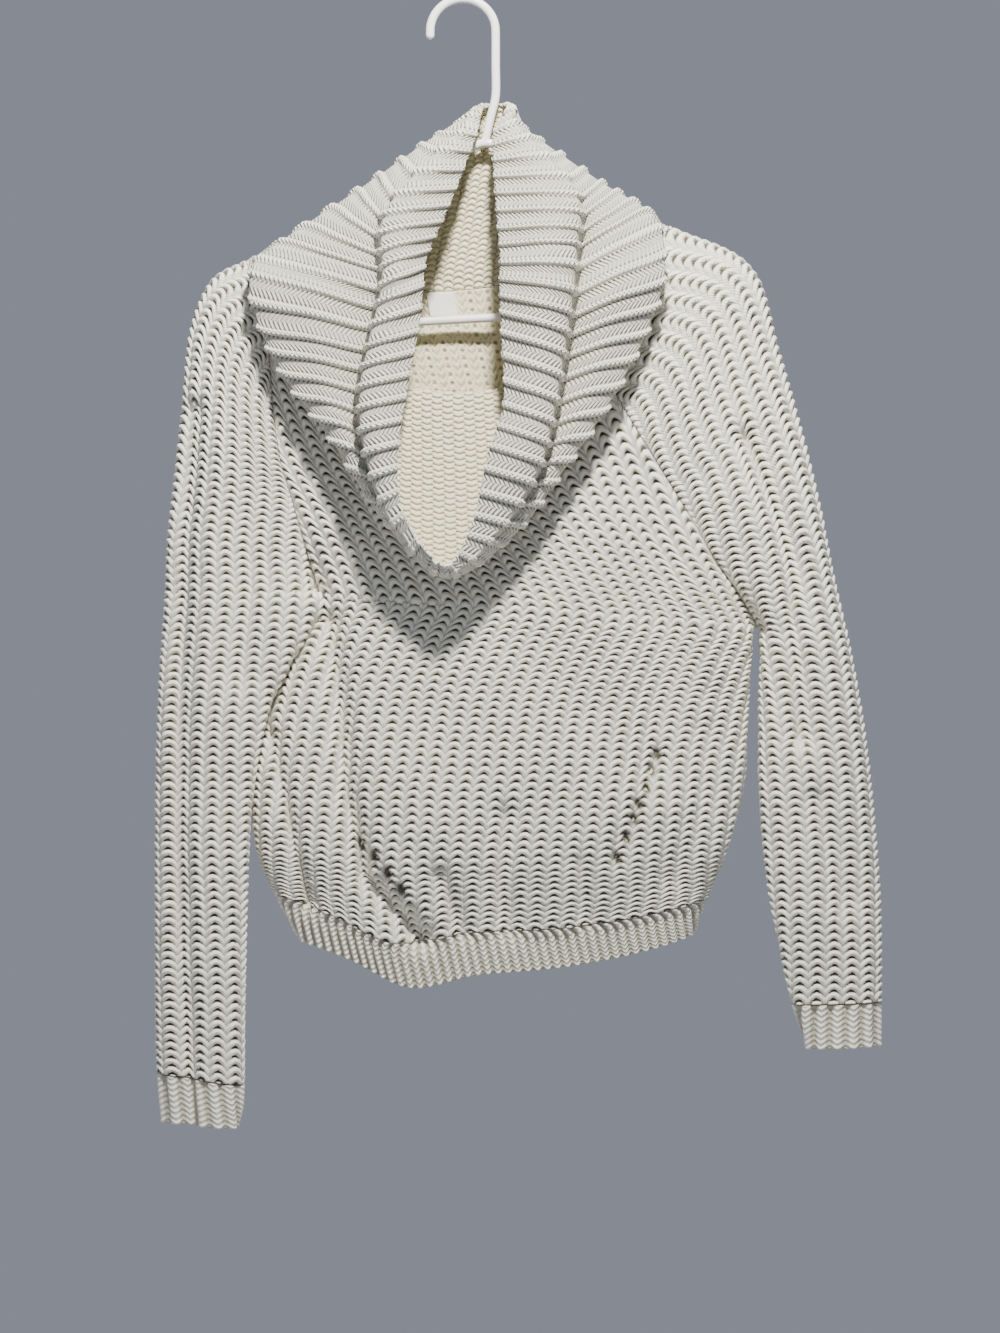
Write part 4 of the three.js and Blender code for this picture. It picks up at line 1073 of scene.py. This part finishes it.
# %% Thick ivory wool: matt and a little hairy, pale on the strands, with warm dark shade painted into the pits between them
def yarn_material(name, light, pit_shade_colour, relief, wrong_side_painted_shade="#E6DFC0"):
    """relief gives the height of the stitches and the shade painted into their pits, from the map and the side of the
    knit.
    """
    material, tree, shader = new_material(name)
    shader.inputs["Roughness"].default_value = 0.92
    shader.inputs["Sheen Weight"].default_value = 0.35
    shader.inputs["Sheen Roughness"].default_value = 0.45
    shader.inputs["Specular IOR Level"].default_value = 0.25
    place = add_node(tree, "ShaderNodeTexCoord").outputs["Object"]
    weave = add_node(tree, "ShaderNodeUVMap", {"uv_map": "weave"}).outputs["UV"]
    pit = add_node(tree, "ShaderNodeAttribute", {"attribute_name": "pit"}).outputs["Fac"]
    right_side = add_node(tree, "ShaderNodeAttribute", {"attribute_name": "right_side"}).outputs["Fac"]
    standing = add_node(tree, "ShaderNodeAttribute", {"attribute_name": "relief"}).outputs["Fac"]
    stitch_height, stitch_painted_shade = relief(tree, weave, right_side)
    pit = calculate(tree, "MAXIMUM", pit, calculate(tree, "MULTIPLY", stitch_painted_shade, standing))
    cloud = add_node(tree, "ShaderNodeTexNoise", inputs={"Vector": place, "Scale": 60.0, "Detail": 3.0})
    fleck = add_node(tree, "ShaderNodeTexNoise", inputs={"Vector": place, "Scale": 700.0, "Detail": 3.0})
    # The wrong side is painted in a warmer, darker shade.
    lit = add_node(tree, "ShaderNodeMix", {"data_type": "RGBA"}, {"Factor": right_side, "A": linear(wrong_side_painted_shade), "B": linear(light)})
    # Painted shade: pits, holes and grooves darken the colour towards the pit shade colour.
    mixed = add_node(tree, "ShaderNodeMix", {"data_type": "RGBA"}, {"Factor": pit, "A": lit.outputs["Result"], "B": linear(pit_shade_colour)})
    tone = add_node(tree, "ShaderNodeMapRange", inputs={0: cloud.outputs["Fac"], 3: 0.93, 4: 1.05})
    hair = add_node(tree, "ShaderNodeMapRange", inputs={0: fleck.outputs["Fac"], 3: 0.9, 4: 1.1})
    both = add_node(tree, "ShaderNodeMath", {"operation": "MULTIPLY"}, {0: tone.outputs[0], 1: hair.outputs[0]})
    shade = add_node(tree, "ShaderNodeVectorMath", {"operation": "SCALE"}, {0: mixed.outputs["Result"], "Scale": both.outputs[0]})
    tree.links.new(shade.outputs[0], shader.inputs["Base Color"])
    strand = add_node(tree, "ShaderNodeTexNoise", inputs={"Vector": place, "Scale": 1100.0, "Detail": 4.0, "Roughness": 0.7})
    bump = add_node(tree, "ShaderNodeBump", inputs={"Strength": 0.5, "Distance": 0.0006, "Height": strand.outputs["Fac"]})
    bump = add_node(tree, "ShaderNodeBump", inputs={
        "Strength": standing, "Distance": 0.0016, "Height": stitch_height, "Normal": bump.outputs[0],
    })
    tree.links.new(bump.outputs[0], shader.inputs["Normal"])
    return material


def calculate(tree, operation, *values):
    return add_node(tree, "ShaderNodeMath", {"operation": operation}, dict(enumerate(values))).outputs[0]


def mix(tree, share, first, second):
    return add_node(tree, "ShaderNodeMix", {"data_type": "FLOAT"}, {"Factor": share, "A": first, "B": second}).outputs[0]


def ramp(tree, value, low, high):
    """1 at low, 0 at high, and a soft step between them."""
    return add_node(
        tree, "ShaderNodeMapRange", {"interpolation_type": "SMOOTHSTEP"}, {0: value, 1: low, 2: high, 3: 1.0, 4: 0.0},
    ).outputs[0]


def ply_twist(tree, across, along):
    """The fine slanted plies of the yarn."""
    phase = calculate(tree, "MULTIPLY_ADD", along, 0.7, across)
    return calculate(tree, "COSINE", calculate(tree, "MULTIPLY", phase, 2 * math.pi / 0.0021))


def arch_relief(tree, weave, right_side):
    """The arches of arch_knit. The map is in metres along the cloth."""
    parts = add_node(tree, "ShaderNodeSeparateXYZ", inputs={0: weave})
    columns = calculate(tree, "FRACT", calculate(tree, "DIVIDE", parts.outputs[0], column_pitch * MM))
    bend = calculate(tree, "ABSOLUTE", calculate(tree, "MULTIPLY_ADD", columns, 2.0, -1.0))
    lift = calculate(tree, "MULTIPLY_ADD", calculate(tree, "POWER", bend, 1.7), -0.86, 0.86)
    rows = calculate(tree, "SUBTRACT", calculate(tree, "DIVIDE", parts.outputs[1], row_pitch * MM), lift)
    off = calculate(tree, "ABSOLUTE", calculate(tree, "SUBTRACT", calculate(tree, "FRACT", rows), 0.5))
    slope = calculate(tree, "MULTIPLY", calculate(tree, "POWER", bend, 1.4), 2.2)
    lean = calculate(tree, "INVERSE_SQRT", calculate(tree, "ADD", slope, 1.0))
    distance = calculate(tree, "MULTIPLY", calculate(tree, "MULTIPLY", off, lean), row_pitch / yarn_radius)
    inside = calculate(tree, "MAXIMUM", calculate(tree, "SUBTRACT", 1.0, calculate(tree, "POWER", distance, 2.0)), 0.0)
    yarn = calculate(tree, "SQRT", inside)
    dive = calculate(tree, "MULTIPLY", ramp(tree, bend, 1.0, 0.55), -0.5)
    plies = calculate(tree, "MULTIPLY_ADD", ply_twist(tree, parts.outputs[0], parts.outputs[1]), 0.06, yarn)
    # Painted shade: darker in the pit under each arch and where the legs cross between columns.
    pit = calculate(tree, "MULTIPLY", ramp(tree, distance, 1.2, 0.8), ramp(tree, bend, 0.3, 0.8))
    crossing_painted_shade = calculate(tree, "MULTIPLY", ramp(tree, bend, 1.0, 0.84), 0.3)
    height = calculate(tree, "MULTIPLY", calculate(tree, "ADD", plies, dive), right_side)
    return height, calculate(tree, "MULTIPLY", calculate(tree, "MAXIMUM", pit, crossing_painted_shade), right_side)


def rib_relief(pitch):
    """Vs that run up a one-by-one rib, with shade painted where they dip."""
    def relief(tree, weave, right_side):
        parts = add_node(tree, "ShaderNodeSeparateXYZ", inputs={0: weave})
        columns = calculate(tree, "FRACT", calculate(tree, "DIVIDE", parts.outputs[0], pitch * MM))
        bend = calculate(tree, "ABSOLUTE", calculate(tree, "MULTIPLY_ADD", columns, 2.0, -1.0))
        rows = calculate(tree, "MULTIPLY_ADD", bend, -0.75, calculate(tree, "DIVIDE", parts.outputs[1], 0.0045))
        turn = calculate(tree, "COSINE", calculate(tree, "MULTIPLY", rows, 2 * math.pi))
        return calculate(tree, "MULTIPLY_ADD", turn, 0.22, 0.5), calculate(tree, "MULTIPLY", ramp(tree, turn, -1.0, -0.4), 0.3)
    return relief


def purl_relief(tree, parts):
    """Small bumps in rows, two to a rib, with shade painted in the gaps between them."""
    columns = calculate(tree, "FRACT", calculate(tree, "DIVIDE", parts.outputs[0], 0.0075))
    bend = calculate(tree, "ABSOLUTE", calculate(tree, "MULTIPLY_ADD", columns, 2.0, -1.0))
    other = calculate(tree, "GREATER_THAN", calculate(tree, "FRACT", calculate(tree, "DIVIDE", parts.outputs[0], 0.015)), 0.5)
    course = calculate(tree, "MULTIPLY_ADD", other, 0.5, calculate(tree, "DIVIDE", parts.outputs[1], 0.005))
    rows = calculate(tree, "MULTIPLY_ADD", bend, 0.3, course)
    off = calculate(tree, "ABSOLUTE", calculate(tree, "SUBTRACT", calculate(tree, "FRACT", rows), 0.5))
    inside = calculate(tree, "SUBTRACT", 1.0, calculate(tree, "POWER", calculate(tree, "MULTIPLY", off, 2.2), 2.0))
    bump = calculate(tree, "SQRT", calculate(tree, "MAXIMUM", inside, 0.0))
    height = calculate(tree, "MULTIPLY", bump, ramp(tree, bend, 0.6, 1.3))
    gap_painted_shade = calculate(tree, "MULTIPLY", ramp(tree, bump, 0.25, 0.7), ramp(tree, bend, 1.1, 0.35))
    return height, calculate(tree, "MULTIPLY", gap_painted_shade, 0.8)


def chain_relief(tree, weave, right_side):
    """The slanted stitches along the cowl's ribs, and the bumps of its wrong side, with shade painted into the holes
    between stitches.
    The map is 15 mm a rib, and a stitch is 3.75 mm long."""
    parts = add_node(tree, "ShaderNodeSeparateXYZ", inputs={0: weave})
    rib = calculate(tree, "FRACT", calculate(tree, "DIVIDE", parts.outputs[0], 0.015))
    side = calculate(tree, "ABSOLUTE", calculate(tree, "SUBTRACT", rib, 0.5))
    row = calculate(tree, "DIVIDE", parts.outputs[1], 0.00375)
    on_ridge = calculate(tree, "LESS_THAN", side, 0.16)
    up = calculate(tree, "MULTIPLY", calculate(tree, "MULTIPLY", side, -4.0), on_ridge)
    down = calculate(tree, "MULTIPLY", calculate(tree, "MULTIPLY", side, 3.6), calculate(tree, "SUBTRACT", 1.0, on_ridge))
    phase = calculate(tree, "ADD", row, calculate(tree, "ADD", up, down))
    wave = calculate(tree, "MULTIPLY_ADD", calculate(tree, "COSINE", calculate(tree, "MULTIPLY", phase, 2 * math.pi)), 0.5, 0.5)
    # Painted shade: the holes beside each ridge and the gaps between slanted stitches are darkened.
    beside = ramp(tree, calculate(tree, "ABSOLUTE", calculate(tree, "SUBTRACT", side, 0.23)), 0.02, 0.08)
    pit = calculate(tree, "MULTIPLY", beside, ramp(tree, wave, 0.1, 0.6))
    between = calculate(tree, "MULTIPLY", ramp(tree, wave, 0.0, 0.4), calculate(tree, "MULTIPLY_ADD", on_ridge, -0.35, 0.5))
    bumps, gaps = purl_relief(tree, parts)
    return mix(tree, right_side, bumps, wave), mix(tree, right_side, gaps, calculate(tree, "MAXIMUM", pit, between))


# The panels' pits are deep and small, so the shade painted into them is dark. The ribs' grooves are
# shallow, so their painted shade is less dark. The cowl's wrong side is painted in its own warm shade.
panel_wool = yarn_material("wool_yarn_panels", "#F6F3E4", "#55503F", arch_relief)
hem_wool = yarn_material("wool_yarn_hem", "#F5F2E5", "#80785E", rib_relief(hem_pitch))
cuff_wool = yarn_material("wool_yarn_cuffs", "#F5F2E5", "#80785E", rib_relief(cuff_pitch))
cowl_wool = yarn_material("wool_yarn_cowl", "#F6F3E4", "#625B46", chain_relief)

# %% Moulded polypropylene: an even white with a soft, slightly wavy gloss
def plastic_material():
    material, tree, shader = new_material("moulded_polypropylene")
    shader.inputs["Roughness"].default_value = 0.22
    shader.inputs["IOR"].default_value = 1.49
    place = add_node(tree, "ShaderNodeTexCoord").outputs["Object"]
    cloud = add_node(tree, "ShaderNodeTexNoise", inputs={"Vector": place, "Scale": 45.0, "Detail": 2.0})
    mixed = add_node(tree, "ShaderNodeMix", {"data_type": "RGBA"}, {
        "Factor": cloud.outputs["Fac"], "A": linear("#F2F2F3"), "B": linear("#FAFAFA"),
    })
    tree.links.new(mixed.outputs["Result"], shader.inputs["Base Color"])
    bump = add_node(tree, "ShaderNodeBump", inputs={"Strength": 0.15, "Distance": 0.0004, "Height": cloud.outputs["Fac"]})
    tree.links.new(bump.outputs[0], shader.inputs["Normal"])
    return material


# %% Woven satin tape: flat and pale, with a faint shine along its fine threads
def tape_material():
    material, tree, shader = new_material("woven_satin_tape")
    shader.inputs["Roughness"].default_value = 0.55
    shader.inputs["Sheen Weight"].default_value = 0.2
    weave = add_node(tree, "ShaderNodeUVMap", {"uv_map": "weave"}).outputs["UV"]
    thread = add_node(tree, "ShaderNodeTexWave", {"bands_direction": "Y"}, {"Vector": weave, "Scale": 1250.0, "Distortion": 1.0})
    mixed = add_node(tree, "ShaderNodeMix", {"data_type": "RGBA"}, {
        "Factor": thread.outputs["Fac"], "A": linear("#E4E2DC"), "B": linear("#F4F3EF"),
    })
    tree.links.new(mixed.outputs["Result"], shader.inputs["Base Color"])
    bump = add_node(tree, "ShaderNodeBump", inputs={"Strength": 0.3, "Distance": 0.0002, "Height": thread.outputs["Fac"]})
    tree.links.new(bump.outputs[0], shader.inputs["Normal"])
    return material


# %% Give every piece its finish, its body and the node it stands for
def fit_out(piece, material, nodes):
    piece.data.materials.clear()
    piece.data.materials.append(material)
    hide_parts(*([nodes] if isinstance(nodes, str) else nodes))
    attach(piece, "root")


fit_out(front_panel, panel_wool, "front_panel")
fit_out(back_panel, panel_wool, "back_panel")
for side, piece in sleeve_pieces.items():
    fit_out(piece, panel_wool, f"sleeve_{side.lower()}")
for face, piece in hem_pieces.items():
    fit_out(piece, hem_wool, f"hem_rib_{face}")
for side, piece in cuff_pieces.items():
    fit_out(piece, cuff_wool, f"cuff_{side.lower()}")
fit_out(cowl, cowl_wool, ("cowl_under", "cowl_over"))
fit_out(label, tape_material(), "neck_label")
fit_out(hanger, plastic_material(), "hanger")

# %% [markdown]

# %% [markdown]
# ## Floor, light and camera
# The garment hangs in the air over a pale floor. One large soft lamp stands high in front, as the
# photograph's light does, with a weaker one on the other side and a pale sky all round.

# %% Floor
bpy.ops.object.select_all(action="DESELECT")
bpy.ops.mesh.primitive_plane_add(size=3.7, location=(0.03, 0, -1.5))
floor = bpy.context.object
floor.name = "floor"
floor_paint, floor_tree, floor_shader = new_material("matt_floor_paint")
floor_shader.inputs["Base Color"].default_value = linear("#D5D6D8")
floor_shader.inputs["Roughness"].default_value = 0.9
floor.data.materials.append(floor_paint)


# %% Lamps
def soft_lamp(name, place, aim, width, power, tint):
    light = bpy.data.lights.new(name, "AREA")
    light.shape = "DISK"
    light.size = width
    light.energy = power
    light.color = linear(tint)[:3]
    lamp = bpy.data.objects.new(name, light)
    bpy.context.scene.collection.objects.link(lamp)
    lamp.location = place
    lamp.rotation_euler = (Vector(aim) - Vector(place)).to_track_quat("-Z", "Y").to_euler()


middle = (0.03, 0.0, -0.5)
soft_lamp("key_lamp", (0.12, -0.8, 0.58), middle, 0.13, 46, "#FFFCF4")
soft_lamp("fill_lamp", (-1.3, -1.8, 0.1), middle, 1.4, 1.5, "#E6EBFF")
world = bpy.data.worlds.new("pale_sky")
world.use_nodes = True
world.node_tree.nodes["Background"].inputs["Color"].default_value = linear("#C6CCDC")
world.node_tree.nodes["Background"].inputs["Strength"].default_value = 0.43
bpy.context.scene.world = world

# %% Camera: level, straight in front, and the photograph's frame is 800 mm wide at the garment
frame_width, distance = 0.8, 2.4
camera = bpy.data.cameras.new("camera")
camera.sensor_fit = "HORIZONTAL"
camera.sensor_width = 36
camera.lens = 36 * distance / frame_width
camera_object = bpy.data.objects.new("camera", camera)
bpy.context.scene.collection.objects.link(camera_object)
camera_object.location = (0.030, -0.02 - distance, -0.535)
camera_object.rotation_euler = (math.pi / 2, 0, 0)
bpy.context.scene.camera = camera_object
